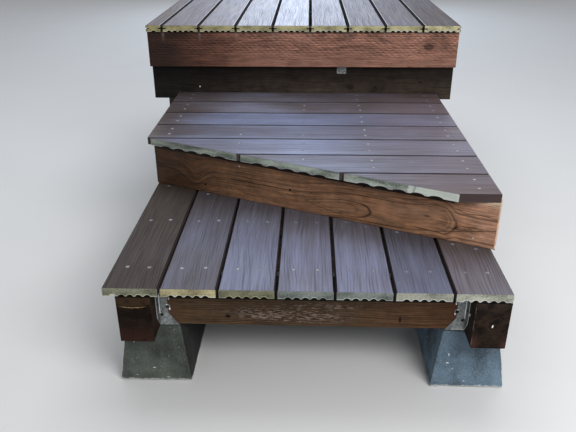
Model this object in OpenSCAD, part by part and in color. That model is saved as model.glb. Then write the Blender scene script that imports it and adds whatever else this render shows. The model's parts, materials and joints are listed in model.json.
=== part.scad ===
// Two wide box steps that climb to the front bay of a timber deck.
// The lower step is a square platform on concrete piers, the upper step is a
// box that stands on it with its front cut on a slant, and the deck follows.
// Every length is in millimetres. Y runs from the front of the steps to the
// back of the deck, and Z is up from the ground.

/* [Timber] */
// Thickness of the two-by timber
timber_t = 38; // [32:1:45]
// Depth of the beams, the riser and the deck frame
timber_h = 140; // [120:1:185]
// Width of the two heavy beams of the lower step, and of the deck posts
beam_w = 89; // [80:1:120]
// Radius of the eased edges of the timber
timber_round = 3; // [1:0.5:5]

/* [Decking boards] */
// Width of a decking board
board_w = 140; // [136:1:150]
// Thickness of a decking board
board_t = 24; // [22:1:30]
// Radius of the top edges of a board
board_round = 2.5; // [1:0.5:4]
// Distance between the scallops under a board
scallop_pitch = 22; // [20:1:24]
// Width of one scallop
scallop_w = 17; // [14:1:18]
// Depth of one scallop
scallop_depth = 5.5; // [2:0.5:6]
// Scallops under one board
scallop_count = 5; // [4:1:5]
// Height of the fastener slot in the edges of the deck boards
slot_h = 5; // [3:0.5:6]
// Depth of the fastener slot
slot_depth = 13; // [6:1:15]

/* [Concrete piers] */
// Width of a pier at the ground
pier_w = 203; // [190:1:230]
// Depth of a pier at the ground, front to back
pier_d = 280; // [240:1:300]
// How far each side of a pier leans in from its foot to its top
pier_lean = 25; // [10:1:30]
// Height of a pier
pier_h = 171; // [140:1:220]
// How far each pier of the lower step stands inwards of its beam's middle
pier_inward = 24; // [0:1:30]
// Feet of the front piers, back from the front edge of the lower step
pier_front = 47; // [20:1:100]
// Gap between the back piers of the lower step and the front piers of the deck
pier_gap = 15; // [5:1:200]

/* [Lower step] */
// Boards in the lower step
lower_count = 7; // [7:1:7]
// Gap between the boards of the lower step
lower_gap = 8; // [4:1:10]
// How far the boards hang past the left beam
left_overhang = 31; // [0:1:40]
// How far the boards hang past the right beam
right_overhang = 0; // [0:1:40]
// How far the front joist stands behind the ends of the boards
front_setback = 76; // [60:1:110]
// How far the back joist stands in front of the ends of the boards
back_setback = 20; // [0:1:60]
// Joists between the beams, the front and back ones included
joist_count = 5; // [3:1:6]
// How far the undersides of the joists lie above those of the beams
joist_lift = 3; // [2:0.5:6]

/* [Joist hangers] */
// Thickness of the hanger steel
hanger_t = 1.5; // [1:0.5:3]
// How far a hanger stops below the top of its joist
hanger_drop = 16; // [10:1:40]
// Length of the seat under the joist
hanger_seat = 51; // [40:1:60]
// Width of the side plate above its slanting shoulder
hanger_neck = 24; // [18:1:32]
// Height at which the slant of the side plates and flanges ends
hanger_shoulder = 37; // [25:1:50]
// Radius of the rounded ears on the neck, which take the slanting nails
hanger_ear = 7; // [5:0.5:9]
// Radius of the open hole low down beside the fold of a side plate
hanger_hole_r = 3.2; // [2:0.1:4]
// Width of the flange nailed to the beam
hanger_flange = 27; // [18:1:35]
// Radius of the nail holes
nail_hole_r = 2.2; // [1.5:0.1:3]

/* [Upper step] */
// Boards in the upper step, front to back
upper_count = 7; // [6:1:8]
// Gap between the boards of the upper step
upper_gap = 6; // [3:1:10]
// Front edge of the foremost board, back from the front of the lower step
upper_front = 236; // [200:1:300]
// How far the boards reach past the left side of the lower step
upper_left_over = 23; // [0:1:40]
// How far the boards reach past the right side of the lower step
upper_right_over = 10; // [0:1:40]
// Boards that the slant cuts
cut_boards = 3; // [3:1:3]
// Width that the slant leaves of the last of them at its left end, or less
// than nothing where that board comes to a point just before it
cut_stub = -5; // [-5:1:60]
// Length of the foremost board's uncut front edge
front_edge_len = 114; // [60:1:200]
// How far the riser's face is behind the start of the slant, at the left side
riser_left_behind = 1; // [0:1:60]
// How far the riser's face is in front of the foremost board, at the right side
riser_right_front = 8; // [0:1:30]
// How far the riser's face reaches past the left side of the lower step
riser_left_over = 3; // [0:1:10]
// How far the riser's face reaches past the right side of the lower step
riser_right_over = 6; // [0:1:10]
// How far the side pieces stand inwards of the sides of the lower step
side_inward = 24; // [0:1:60]
// Distance between the inner joists of the upper step
upper_joist_pitch = 210; // [180:1:240]
// Middle inner joist, sideways from the middle of the step
upper_joist_x = -15; // [-40:1:40]

/* [Deck] */
// Height of the deck above the upper step
deck_rise = 278; // [240:1:320]
// Reach of the deck past the left side of the lower step
deck_left_over = 126; // [110:1:200]
// Width of the ripped board at the left edge of the deck
ripped_w = 60; // [50:1:100]
// Whole boards in the deck bay
deck_count = 8; // [8:1:9]
// Gap between the deck boards
deck_gap = 5.5; // [4:0.5:8]
// Depth of the deck bay, front to back
deck_depth = 1219; // [1000:1:1500]
// How far the deck boards hang past the front rim
deck_overhang = 15; // [0:1:40]
// How far the deck reaches past its back beam
deck_cantilever = 100; // [90:1:200]
// Middle of the angle clip, sideways from the middle of the lower step
clip_x = 134; // [-400:1:400]
// Width of the angle clip
clip_w = 38; // [30:1:60]
// Length of each leg of the angle clip
clip_leg = 35; // [25:1:37]
// Radius of the corners of its legs
clip_round = 6; // [2:1:10]

/* [Hidden] */
$fn = 48;
// A cutter reaches past what it cuts by this much
spare = 20;

// Levels, from the ground up
beam_z = pier_h;
lower_under = beam_z + timber_h;
lower_top = lower_under + board_t;
upper_under = lower_top + timber_h;
upper_top = upper_under + board_t;
deck_top = upper_top + deck_rise;
deck_under = deck_top - board_t;
deck_frame_z = deck_under - timber_h;
deck_beam_z = deck_frame_z - timber_h;

// Lower step, seen from above
lower_w = lower_count * board_w + (lower_count - 1) * lower_gap;
left_x = -lower_w / 2;
right_x = lower_w / 2;
beam_left_x = left_x + left_overhang;
beam_right_x = right_x - right_overhang - beam_w;
inner_left_x = beam_left_x + beam_w;
inner_right_x = beam_right_x;
joist_h = timber_h - joist_lift;
joist_z = lower_under - joist_h;
hanger_h = joist_h - hanger_drop;

// Upper step, seen from above
upper_pitch = board_w + upper_gap;
steps_back = upper_front + upper_count * upper_pitch - upper_gap;
upper_left_x = left_x - upper_left_over;
upper_right_x = right_x + upper_right_over;
cut_left_y = upper_front + cut_boards * upper_pitch - upper_gap - cut_stub;
cut_right_x = upper_right_x - front_edge_len;
riser_left_y = cut_left_y + riser_left_behind;
riser_right_y = upper_front - riser_right_front;
riser_slope = (riser_right_y - riser_left_y) / lower_w;
riser_angle = atan(riser_slope);
riser_depth = timber_t / cos(riser_angle);
function riser_face_y(x) = riser_left_y + (x - left_x) * riser_slope;
function riser_back_y(x) = riser_face_y(x) + riser_depth;

// Joists of the lower step, by their middles
first_joist_y = front_setback + timber_t / 2;
last_joist_y = steps_back - back_setback - timber_t / 2;
joist_pitch = (last_joist_y - first_joist_y) / (joist_count - 1);
joist_ys = [for (i = [0:joist_count - 1]) first_joist_y + i * joist_pitch];

// Deck, whose front beam takes the backs of the steps
deck_left_x = left_x - deck_left_over;
deck_pitch = board_w + deck_gap;
deck_right_x = deck_left_x + ripped_w + deck_count * deck_pitch;
rim_front_y = steps_back - timber_t;
deck_front_y = rim_front_y - deck_overhang;
deck_back_y = deck_front_y + deck_depth;
rim_back_y = deck_back_y - timber_t;
deck_bay = (rim_back_y - rim_front_y) / 3;
deck_beam_back_y = deck_back_y - deck_cantilever - timber_t;

// The deck's posts, each on the middle of a pier whose foot is in line with
// the side of the deck
post_xs = [deck_left_x + pier_w / 2, deck_right_x - pier_w / 2];
post_ys = [steps_back + beam_w / 2, deck_back_y - deck_cantilever - beam_w / 2];

// The origin is under the middle of the whole footprint
origin_shift = [-(deck_left_x + deck_right_x) / 2, -deck_back_y / 2, 0];

// Colours
board_brown = [0.30, 0.25, 0.25];
stain_brown = [0.38, 0.22, 0.14];
dark_stain = [0.20, 0.12, 0.09];
concrete_grey = [0.45, 0.47, 0.46];
zinc_grey = [0.62, 0.64, 0.65];

// A rectangle with rounded corners, its lower left corner at the origin
module eased_rectangle(w, h, r) {
    translate([r, 0]) square([w - 2 * r, h]);
    translate([0, r]) square([w, h - 2 * r]);
    for (x = [r, w - r], y = [r, h - r]) translate([x, y]) circle(r = r);
}

// Timber lying along X, from the origin
module timber_x(length, w = timber_t, h = timber_h) {
    rotate([90, 0, 90]) linear_extrude(length) eased_rectangle(w, h, timber_round);
}

// Timber lying along Y, from the origin
module timber_y(length, w = timber_t, h = timber_h) {
    translate([0, length, 0]) rotate([90, 0, 0])
        linear_extrude(length) eased_rectangle(w, h, timber_round);
}

// End view of a decking board: square edges, a scalloped underside, and
// fastener slots in both edges of a slotted board
module board_profile(w, slotted) {
    scallop_r = (pow(scallop_w / 2, 2) + pow(scallop_depth, 2)) / (2 * scallop_depth);
    fitting = min(scallop_count, floor((w - scallop_w) / scallop_pitch));
    difference() {
        union() {
            square([w, board_t - board_round]);
            translate([board_round, 0]) square([w - 2 * board_round, board_t]);
            for (x = [board_round, w - board_round])
                translate([x, board_t - board_round]) circle(r = board_round);
        }
        for (i = [0:fitting - 1])
            translate([w / 2 + (i - (fitting - 1) / 2) * scallop_pitch, scallop_depth - scallop_r])
                circle(r = scallop_r);
        if (slotted)
            for (x = [0, w])
                translate([x - slot_depth, (board_t - slot_h) / 2]) square([2 * slot_depth, slot_h]);
    }
}

// A board that runs front to back
module board_y(length, w = board_w, slotted = false) {
    translate([0, length, 0]) rotate([90, 0, 0]) linear_extrude(length) board_profile(w, slotted);
}

// A board that runs side to side
module board_x(length) {
    rotate([90, 0, 90]) linear_extrude(length) board_profile(board_w, false);
}

// Side view of a pier, its foot centred on the origin
module pier_outline(foot) {
    polygon([
        [-foot / 2, 0], [foot / 2, 0], [foot / 2 - pier_lean, pier_h], [pier_lean - foot / 2, pier_h]
    ]);
}

// A cast pier that tapers on all four sides
module pier() {
    color(concrete_grey) intersection() {
        translate([0, pier_d / 2, 0]) rotate([90, 0, 0]) linear_extrude(pier_d) pier_outline(pier_w);
        translate([-pier_w / 2, 0, 0]) rotate([90, 0, 90]) linear_extrude(pier_w) pier_outline(pier_d);
    }
}

// Piers of the lower step, whose middles are a little inwards of the beams
module pier_on_left(y) {
    translate([beam_left_x + beam_w / 2 + pier_inward, y, 0]) pier();
}

module pier_on_right(y) {
    translate([beam_right_x + beam_w / 2 - pier_inward, y, 0]) pier();
}

// The two heavy beams that carry the lower step from front to back
module lower_beam(x) {
    color(dark_stain) translate([x, 0, beam_z]) timber_y(steps_back, beam_w);
}

module lower_joist(i) {
    color(stain_brown) translate([inner_left_x, joist_ys[i] - timber_t / 2, joist_z])
        timber_x(inner_right_x - inner_left_x, timber_t, joist_h);
}

// Pressed steel hanger. The beam's face is at X 0, the joist runs to +X, and
// the middle of its underside is at the origin.
module hanger() {
    ears = [0.48, 0.75] * hanger_h;
    color(zinc_grey) {
        translate([0, -timber_t / 2 - hanger_t, -hanger_t])
            cube([hanger_seat, timber_t + 2 * hanger_t, hanger_t]);
        for (m = [0, 1]) mirror([0, m, 0]) translate([0, timber_t / 2, 0]) {
            translate([0, hanger_t, 0]) rotate([90, 0, 0]) linear_extrude(hanger_t) difference() {
                union() {
                    hanger_side_outline();
                    for (z = ears) translate([hanger_neck, z]) circle(r = hanger_ear);
                }
                for (z = ears) translate([hanger_neck, z]) circle(r = nail_hole_r);
                translate([2 * hanger_hole_r, hanger_shoulder - 2 * hanger_hole_r])
                    circle(r = hanger_hole_r);
            }
            rotate([90, 0, 90]) linear_extrude(hanger_t) hanger_flange_outline();
        }
    }
}

// Outline of a side plate: a foot as long as the seat, a slant and a neck
module hanger_side_outline() {
    polygon([
        [0, -hanger_t], [hanger_seat, -hanger_t], [hanger_seat, 0],
        [hanger_neck, hanger_shoulder], [hanger_neck, hanger_h], [0, hanger_h]
    ]);
}

// Outline of a flange, whose lower corner is cut on a slant, with its holes
module hanger_flange_outline() {
    w = hanger_t + hanger_flange;
    difference() {
        polygon([[0, 0], [hanger_t, 0], [w, hanger_shoulder], [w, hanger_h], [0, hanger_h]]);
        translate([0.4 * w, hanger_shoulder + 2 * nail_hole_r]) circle(r = nail_hole_r);
        for (u = [0.6, 0.85]) translate([0.6 * w, u * hanger_h]) circle(r = nail_hole_r);
    }
}

module hangers_left() {
    for (y = joist_ys) translate([inner_left_x, y, joist_z]) hanger();
}

module hangers_right() {
    for (y = joist_ys) translate([inner_right_x, y, joist_z]) mirror([1, 0, 0]) hanger();
}

module lower_tread(k) {
    color(board_brown) translate([left_x + k * (board_w + lower_gap), 0, lower_under])
        board_y(steps_back);
}

// The riser stands on the lower step on a slant, with square ends
module riser() {
    x = left_x - riser_left_over;
    length = (lower_w + riser_left_over + riser_right_over) / cos(riser_angle);
    color(stain_brown) translate([x, riser_face_y(x), lower_top]) rotate([0, 0, riser_angle])
        timber_x(length);
}

// What lies behind the riser's back face, as seen from above
module behind_riser() {
    translate([0, 0, lower_top - spare]) linear_extrude(timber_h + 2 * spare) polygon([
        [left_x, riser_back_y(left_x)], [right_x, riser_back_y(right_x)],
        [right_x, steps_back], [left_x, steps_back]
    ]);
}

// A front-to-back piece of the upper step, scribed to the back of the riser
module step_rib(x) {
    start = riser_right_y;
    color(stain_brown) intersection() {
        translate([x, start, lower_top]) timber_y(steps_back - timber_t - start);
        behind_riser();
    }
}

module step_back() {
    color(stain_brown) translate([left_x, steps_back - timber_t, lower_top]) timber_x(lower_w);
}

module step_joists() {
    for (i = [-1:1]) step_rib(upper_joist_x + i * upper_joist_pitch - timber_t / 2);
}

// Boards of the upper step, counted from the front. The slant takes the
// corners off the ones in front.
module upper_tread(k) {
    color(board_brown) difference() {
        translate([upper_left_x, upper_front + k * upper_pitch, upper_under])
            board_x(upper_right_x - upper_left_x);
        slant_cut();
    }
}

module slant_cut() {
    run = cut_right_x - upper_left_x;
    rise = cut_left_y - upper_front;
    translate([0, 0, upper_under - spare]) linear_extrude(board_t + 2 * spare) polygon([
        [upper_left_x - spare, cut_left_y + spare * rise / run],
        [cut_right_x + spare, upper_front - spare * rise / run],
        [upper_left_x - spare, upper_front - spare * rise / run]
    ]);
}

// Deck frame: two rims, two sides between them, and joists between the sides
module deck_rim(y) {
    color(stain_brown) translate([deck_left_x, y, deck_frame_z]) timber_x(deck_right_x - deck_left_x);
}

module deck_side(x) {
    color(stain_brown) translate([x, rim_front_y + timber_t, deck_frame_z])
        timber_y(rim_back_y - rim_front_y - timber_t);
}

module deck_joist(i) {
    inside = deck_right_x - deck_left_x - 2 * timber_t;
    color(stain_brown) translate([deck_left_x + timber_t, rim_front_y + i * deck_bay, deck_frame_z])
        timber_x(inside);
}

module deck_beam(y) {
    color(dark_stain) translate([deck_left_x, y, deck_beam_z]) timber_x(deck_right_x - deck_left_x);
}

module deck_posts() {
    color(dark_stain) for (x = post_xs, y = post_ys)
        translate([x - beam_w / 2, y - beam_w / 2, pier_h]) linear_extrude(deck_beam_z - pier_h)
            eased_rectangle(beam_w, beam_w, timber_round);
}

module deck_piers() {
    for (x = post_xs, y = post_ys) translate([x, y, 0]) pier();
}

// Angle clip that ties the front rim down to the beam behind it
module deck_clip() {
    color(zinc_grey) translate([clip_x, steps_back, deck_frame_z]) {
        rotate([90, 0, 0]) linear_extrude(hanger_t) mirror([0, 1]) clip_leg_outline();
        translate([0, 0, -hanger_t]) linear_extrude(hanger_t) mirror([0, 1]) clip_leg_outline();
    }
}

// A leg of the clip, with rounded corners and two nail holes
module clip_leg_outline() {
    difference() {
        union() {
            translate([-clip_w / 2, 0]) square([clip_w, clip_leg - clip_round]);
            translate([clip_round - clip_w / 2, 0]) square([clip_w - 2 * clip_round, clip_leg]);
            for (x = [-1, 1] * (clip_w / 2 - clip_round))
                translate([x, clip_leg - clip_round]) circle(r = clip_round);
        }
        for (x = [-1, 1] * clip_w / 4) translate([x, 0.7 * clip_leg]) circle(r = nail_hole_r);
    }
}

// Deck boards from the left, the first of them ripped narrow
module deck_board(k) {
    x = k == 0 ? deck_left_x : deck_left_x + ripped_w + deck_gap + (k - 1) * deck_pitch;
    color(board_brown) translate([x, deck_front_y, deck_under])
        board_y(deck_depth, k == 0 ? ripped_w : board_w, true);
}

module part(name) {
    translate(origin_shift) children();
}

part("pier_front_left") pier_on_left(pier_front + pier_d / 2);
part("pier_front_right") pier_on_right(pier_front + pier_d / 2);
part("pier_back_left") pier_on_left(post_ys[0] - pier_d - pier_gap);
part("pier_back_right") pier_on_right(post_ys[0] - pier_d - pier_gap);
part("beam_left") lower_beam(beam_left_x);
part("beam_right") lower_beam(beam_right_x);
part("front_joist") lower_joist(0);
part("inner_joists") for (i = [1:joist_count - 1]) lower_joist(i);
part("hangers_left") hangers_left();
part("hangers_right") hangers_right();
for (k = [0:lower_count - 1]) part(str("lower_tread_", k + 1)) lower_tread(k);
part("riser") riser();
part("step_side_left") step_rib(left_x + side_inward);
part("step_side_right") step_rib(right_x - side_inward - timber_t);
part("step_back") step_back();
part("step_joists") step_joists();
for (k = [0:upper_count - 1]) part(str("upper_tread_", k + 1)) upper_tread(k);
part("deck_rim_front") deck_rim(rim_front_y);
part("deck_rim_back") deck_rim(rim_back_y);
part("deck_side_left") deck_side(deck_left_x);
part("deck_side_right") deck_side(deck_right_x - timber_t);
part("deck_joist_front") deck_joist(1);
part("deck_joist_back") deck_joist(2);
part("deck_beam_front") deck_beam(steps_back);
part("deck_beam_back") deck_beam(deck_beam_back_y);
part("deck_posts") deck_posts();
part("deck_piers") deck_piers();
part("deck_clip") deck_clip();
for (k = [0:deck_count]) part(str("deck_board_", k + 1)) deck_board(k);
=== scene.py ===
"""Finishes and fixings for two box steps that climb to the front bay of a timber deck.

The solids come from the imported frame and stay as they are. This file gives
them their finishes, and adds the small things: screws, nails, board clips,
the bent corners of the joist hangers and the rough faces of the cast piers.
Lengths are in metres unless a name ends in _mm.
"""

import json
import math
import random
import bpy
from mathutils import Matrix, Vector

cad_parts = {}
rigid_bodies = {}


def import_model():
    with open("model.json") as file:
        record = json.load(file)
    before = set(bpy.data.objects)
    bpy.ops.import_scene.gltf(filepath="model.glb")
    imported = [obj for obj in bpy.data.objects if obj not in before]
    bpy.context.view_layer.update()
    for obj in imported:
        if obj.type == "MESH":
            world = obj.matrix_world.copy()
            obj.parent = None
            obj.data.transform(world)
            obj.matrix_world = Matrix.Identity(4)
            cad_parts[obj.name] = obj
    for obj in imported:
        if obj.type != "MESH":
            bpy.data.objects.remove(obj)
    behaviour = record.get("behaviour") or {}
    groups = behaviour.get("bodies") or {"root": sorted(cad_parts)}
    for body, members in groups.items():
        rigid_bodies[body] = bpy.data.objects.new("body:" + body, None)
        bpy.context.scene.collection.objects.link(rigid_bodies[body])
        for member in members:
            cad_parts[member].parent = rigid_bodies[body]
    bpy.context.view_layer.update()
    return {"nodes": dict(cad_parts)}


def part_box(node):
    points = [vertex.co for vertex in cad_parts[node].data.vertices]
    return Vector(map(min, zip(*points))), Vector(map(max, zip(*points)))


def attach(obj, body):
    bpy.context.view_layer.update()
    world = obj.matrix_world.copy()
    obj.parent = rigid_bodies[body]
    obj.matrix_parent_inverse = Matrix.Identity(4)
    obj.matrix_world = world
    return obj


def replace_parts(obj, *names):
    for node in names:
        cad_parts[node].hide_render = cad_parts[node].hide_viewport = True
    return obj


bl_info = {
    "name": "Deck Stair Finishes",
    "version": (1, 0, 0),
    "blender": (4, 5, 0),
    "location": "3D Viewport > Sidebar > Deck Stairs",
    "description": "Finishes and fixings for two box steps that climb to a timber deck",
    "category": "Object",
}

from dataclasses import dataclass

import bmesh
import bpy
from bpy.props import FloatProperty, FloatVectorProperty, PointerProperty
from mathutils import Matrix, Vector, noise

for stray in list(bpy.data.objects):
    bpy.data.objects.remove(stray)
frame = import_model()
NODES = frame["nodes"]
BODY = "root"
MM = 0.001

X_AXIS, Y_AXIS, Z_AXIS = (1.0, 0.0, 0.0), (0.0, 1.0, 0.0), (0.0, 0.0, 1.0)
LEFTWARD, FRONTWARD = (-1.0, 0.0, 0.0), (0.0, -1.0, 0.0)


def middle_of(node):
    """Middle of a node's box."""
    low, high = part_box(node)
    return (low + high) / 2


# The stairs' own lines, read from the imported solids
TIMBER_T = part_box("step_back")[1].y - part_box("step_back")[0].y
BEAM_FACE_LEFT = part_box("beam_left")[1].x
BEAM_FACE_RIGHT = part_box("beam_right")[0].x
JOIST_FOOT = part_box("front_joist")[0].z
STEPS_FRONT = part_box("beam_left")[0].y
LOWER_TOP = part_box("lower_tread_1")[1].z
UPPER_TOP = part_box("upper_tread_1")[1].z
DECK_UNDER, DECK_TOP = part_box("deck_board_5")[0].z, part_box("deck_board_5")[1].z
RISER_SLANT = math.radians(-23.45)
RISER_RUN = (math.cos(RISER_SLANT), math.sin(RISER_SLANT), 0.0)
RISER_OUT = (math.sin(RISER_SLANT), -math.cos(RISER_SLANT), 0.0)
# Heights between which the lower boards' shadow ends on the beams' ends
BOARD_SHADE = (0.3068, 0.3082)
# The open hole of a hanger, out from the beam and up from the joist's foot
HOLE_OUT, HOLE_UP = 6.4 * MM, 30.6 * MM
STEP_JOIST_PITCH = 0.21
SCALLOP_PITCH, SCALLOP_HALF, SCALLOP_DEPTH = 22 * MM, 8.5 * MM, 5.5 * MM
LOWER_BOARDS = [f"lower_tread_{k}" for k in range(1, 8)]
UPPER_BOARDS = [f"upper_tread_{k}" for k in range(1, 8)]
DECK_BOARDS = [f"deck_board_{k}" for k in range(1, 10)]


def deck_gaps():
    """Middle and width of each gap between the deck's boards."""
    for left, right in zip(DECK_BOARDS, DECK_BOARDS[1:]):
        start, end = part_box(left)[1].x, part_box(right)[0].x
        yield (start + end) / 2, end - start


def slant_normal():
    """Way that the slanted cut of the upper step faces, from two boards' left corners."""
    (first_low, first_high), (second_low, second_high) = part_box(UPPER_BOARDS[0]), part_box(UPPER_BOARDS[1])
    run = Vector((first_low.x - second_low.x, first_high.y - second_high.y, 0)).normalized()
    return (run.y, -run.x, 0.0)


SLANT_OUT = slant_normal()


# Shader maths


class Field:
    """A value that changes over a surface. Plain sums on it add maths nodes."""

    def __init__(self, finish, socket):
        self.finish, self.socket = finish, socket

    def has_parts(self):
        return self.socket.type in {"VECTOR", "RGBA"}

    def calc(self, operation, *values, out=0):
        parts = any(v.has_parts() if isinstance(v, Field) else isinstance(v, tuple) for v in values)
        kind = "ShaderNodeVectorMath" if parts else "ShaderNodeMath"
        return self.finish.node(kind, {"operation": operation}, dict(enumerate(values)), out)

    def __add__(self, other):
        return self.calc("ADD", self, other)

    def __sub__(self, other):
        return self.calc("SUBTRACT", self, other)

    def __rsub__(self, other):
        return self.calc("SUBTRACT", other, self)

    def __mul__(self, other):
        return self.calc("MULTIPLY", self, other)

    def __truediv__(self, other):
        return self.calc("DIVIDE", self, other)

    def __pow__(self, other):
        return self.calc("POWER", self, other)

    def __abs__(self):
        return self.calc("ABSOLUTE", self)

    __radd__, __rmul__ = __add__, __mul__

    def dot(self, other):
        return self.calc("DOT_PRODUCT", self, other, out="Value")

    def part(self):
        """What is left after the whole number."""
        return self.calc("FRACT", self)

    def whole(self):
        return self.calc("FLOOR", self)

    def most(self, other):
        return self.calc("MAXIMUM", self, other)

    def least(self, other):
        return self.calc("MINIMUM", self, other)

    def rise(self, low, high):
        """0 below low and 1 above high, with a smooth slope between."""
        values = {"Value": self, "From Min": low, "From Max": high}
        return self.finish.node("ShaderNodeMapRange", {"interpolation_type": "SMOOTHSTEP"}, values)

    def fade(self):
        """1 where this is 0, falling away as it grows."""
        fall = self * -1
        return fall.calc("EXPONENT", fall)

    def bell(self, middle, width):
        """1 at middle, falling away on both sides."""
        away = (self - middle) / width
        return (away * away).fade()

    def toward(self, other, share):
        """This colour, blended toward another by a share."""
        return self.finish.blend(share, self, other)

    def tinted(self, tint, share):
        """This colour, multiplied by a tint where share is 1."""
        return self.toward(self * tint, share)


def span(first, second):
    """Straight distance over two steps that are square to each other."""
    return (first * first + second * second) ** 0.5


def shade(colour, factor, most=1.0):
    """A plain colour made darker or lighter."""
    return tuple(min(most, factor * part) for part in colour)


class Tree:
    """The shader nodes of a material, or of the light of the room."""

    def __init__(self, owner):
        owner.use_nodes = True
        self.owner, self.tree = owner, owner.node_tree
        self.tree.nodes.clear()

    def node(self, kind, settings=None, values=None, out=0):
        """Adds a node: its settings are set first, then its sockets' values or links."""
        made = self.tree.nodes.new(kind)
        for name, setting in (settings or {}).items():
            setattr(made, name, setting)
        for key, value in (values or {}).items():
            socket = made.inputs[key]
            if isinstance(value, Field):
                self.tree.links.new(value.socket, socket)
            elif socket.type == "VECTOR" and isinstance(value, (int, float)):
                socket.default_value = (value, value, value)
            elif socket.type == "RGBA":
                socket.default_value = (*tuple(value)[:3], 1.0)
            else:
                socket.default_value = value
        return None if out is None else Field(self, made.outputs[out])


class Finish(Tree):
    """One material, built up from fields."""

    def __init__(self, name):
        super().__init__(bpy.data.materials.new(name))
        self.place = self.node("ShaderNodeTexCoord", out="Object")
        self.facing = self.node("ShaderNodeNewGeometry", out="Normal")
        self.x, self.y, self.z = (self.place.dot(axis) for axis in (X_AXIS, Y_AXIS, Z_AXIS))

    def noise(self, place, scale, detail=2.0, roughness=0.5):
        values = {"Vector": place, "Scale": scale, "Detail": detail, "Roughness": roughness}
        return self.node("ShaderNodeTexNoise", None, values)

    def streaks(self, x, y, z, detail=2.0, roughness=0.5):
        """Noise that is drawn out along the values that change least."""
        joined = self.node("ShaderNodeCombineXYZ", None, {"X": x, "Y": y, "Z": z})
        return self.noise(joined, 1.0, detail, roughness)

    def cells(self, place, scale, out="Distance"):
        return self.node("ShaderNodeTexVoronoi", None, {"Vector": place, "Scale": scale}, out)

    def speckle(self, place, scale):
        """A value of its own for each small cell."""
        return self.cells(place, scale, "Color").dot((0.333, 0.333, 0.333))

    def oval(self, across, up, x, y, width, height):
        """1 at the middle of an oval patch, (x, y), falling away all round."""
        across, up = (across - x) / width, (up - y) / height
        return (across * across + up * up).fade()

    def blend(self, share, first, second):
        """Colour between first and second."""
        settings = {"data_type": "RGBA", "clamp_factor": True}
        return self.node("ShaderNodeMix", settings, {0: share, 6: first, 7: second}, out=2)

    def faces(self, axis, low, high):
        """1 where the surface faces along an axis, either way."""
        return abs(self.facing.dot(axis)).rise(low, high)

    def edges(self, radius):
        """How far a point is round the corner of a sharp edge, from 0 to 1, and its soft normal."""
        soft = self.node("ShaderNodeBevel", {"samples": 4}, {"Radius": radius})
        return 1 - soft.dot(self.facing), soft

    def surface(self, colour, roughness, height, depth, metallic=0.0, specular=0.5, normal=None, dirt_and_shade=None):
        """Ends the tree: height is raised by depth, in metres, where it is 1.

        The last argument is (share, colour) of a dull matt layer that lies over the surface; the boards use
        it for painted shade in their gaps.
        """
        values = {"Height": height, "Distance": depth, "Strength": 1.0}
        if normal is not None:
            values["Normal"] = normal
        shader = self.node("ShaderNodeBsdfPrincipled", None, {
            "Base Color": colour, "Roughness": roughness, "Metallic": metallic,
            "Specular IOR Level": specular, "Normal": self.node("ShaderNodeBump", None, values)})
        if dirt_and_shade is not None:
            dull = {"Base Color": dirt_and_shade[1], "Roughness": 1.0, "Specular IOR Level": 0.0}
            matt = self.node("ShaderNodeBsdfPrincipled", None, dull)
            shader = self.node("ShaderNodeMixShader", None, {0: dirt_and_shade[0], 1: shader, 2: matt})
        self.node("ShaderNodeOutputMaterial", None, {"Surface": shader}, out=None)
        return self.owner


def dress(node, material):
    """Gives a node's object its finish."""
    for place in NODES[node].material_slots:
        place.material = material


# Finishes


@dataclass
class Board:
    """How a decking board runs and looks.

    tone is 0 for a brown board and 1 for a slate one. cut is the colour of
    its sawn ends, which turn nearly white from pale_from along X. A function
    may paint light and shade on the skin. Along the long edges the top is
    painted black over a given width, as shade of the gaps, and inside that,
    where the edge faces the middle of the stairs, a painted highlight of a
    given strength is laid.
    """

    node: str
    run: tuple
    tone: float
    light: float
    rough: float
    cut: tuple
    seed: float
    slanted: bool = False
    pale_from: float = None
    painted_light: object = None
    gap_shade_width: float = 1.6 * MM
    rubbed_and_lit: float = 0.0

    def __post_init__(self):
        low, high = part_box(self.node)
        self.across = X_AXIS if self.run == Y_AXIS else Y_AXIS
        self.width, self.thickness, self.top = (high - low).dot(self.across), high.z - low.z, high.z


def board_skin(finish, looks, board, place, length, width, height):
    """The skin's colour, its roughness, and how its grain lifts."""
    # Embossed lines run in long arches, and brushing lies straight over them
    seed = board.seed
    arch = finish.streaks(length * 2.1 + seed, width * 8.0, seed, 1.0)
    lines = width / looks.line_pitch + arch * 11.0
    strong = finish.streaks(length * 4.0, lines.whole() * 2.9, seed, 1.0)
    emboss = lines.part().bell(0.5, 0.2) * strong.rise(0.42, 0.62)
    brushed = finish.streaks(length * 7.0 + seed, width * 380.0, height * 380.0, 3.0, 0.65)
    fine = finish.streaks(length * 20.0, width * 1200.0, height * 1200.0, 1.0)
    bands = finish.streaks(length * 1.3 + seed, width * 46.0, 0.0) - 0.5
    patches = finish.noise(place + (seed, seed, 0.0), 4.5, 3.0)
    cloud = patches - 0.5

    slate = (board.tone + cloud * 0.9 + bands * 0.5).least(1.0).most(0.0)
    streak = brushed.rise(0.3, 0.7)
    grain = 0.62 + streak * 0.42 + fine * 0.3 + bands * 0.6 + cloud * 0.4
    skin = finish.blend(slate, looks.brown, looks.slate) * (grain * (1 - emboss * 0.36) * board.light)
    dust = finish.noise(place + (seed, 0.0, seed), 75.0, 3.0, 0.7)
    scuff = finish.streaks(length * 2.6, width * 34.0, seed).bell(0.6, 0.004) * patches.rise(0.54, 0.66)
    skin = skin.toward(looks.dust, (scuff * 0.3).most(dust.rise(0.66, 0.76) * 0.25))
    # Painted light and shade on the skin, where the board has them
    if board.painted_light is not None:
        skin = board.painted_light(finish, skin)
    roughness = board.rough + (0.5 - streak) * 0.12 + cloud * 0.15 + emboss * 0.1
    return skin, roughness, fine * 0.25 + brushed * 0.75 - emboss * 0.6


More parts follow.
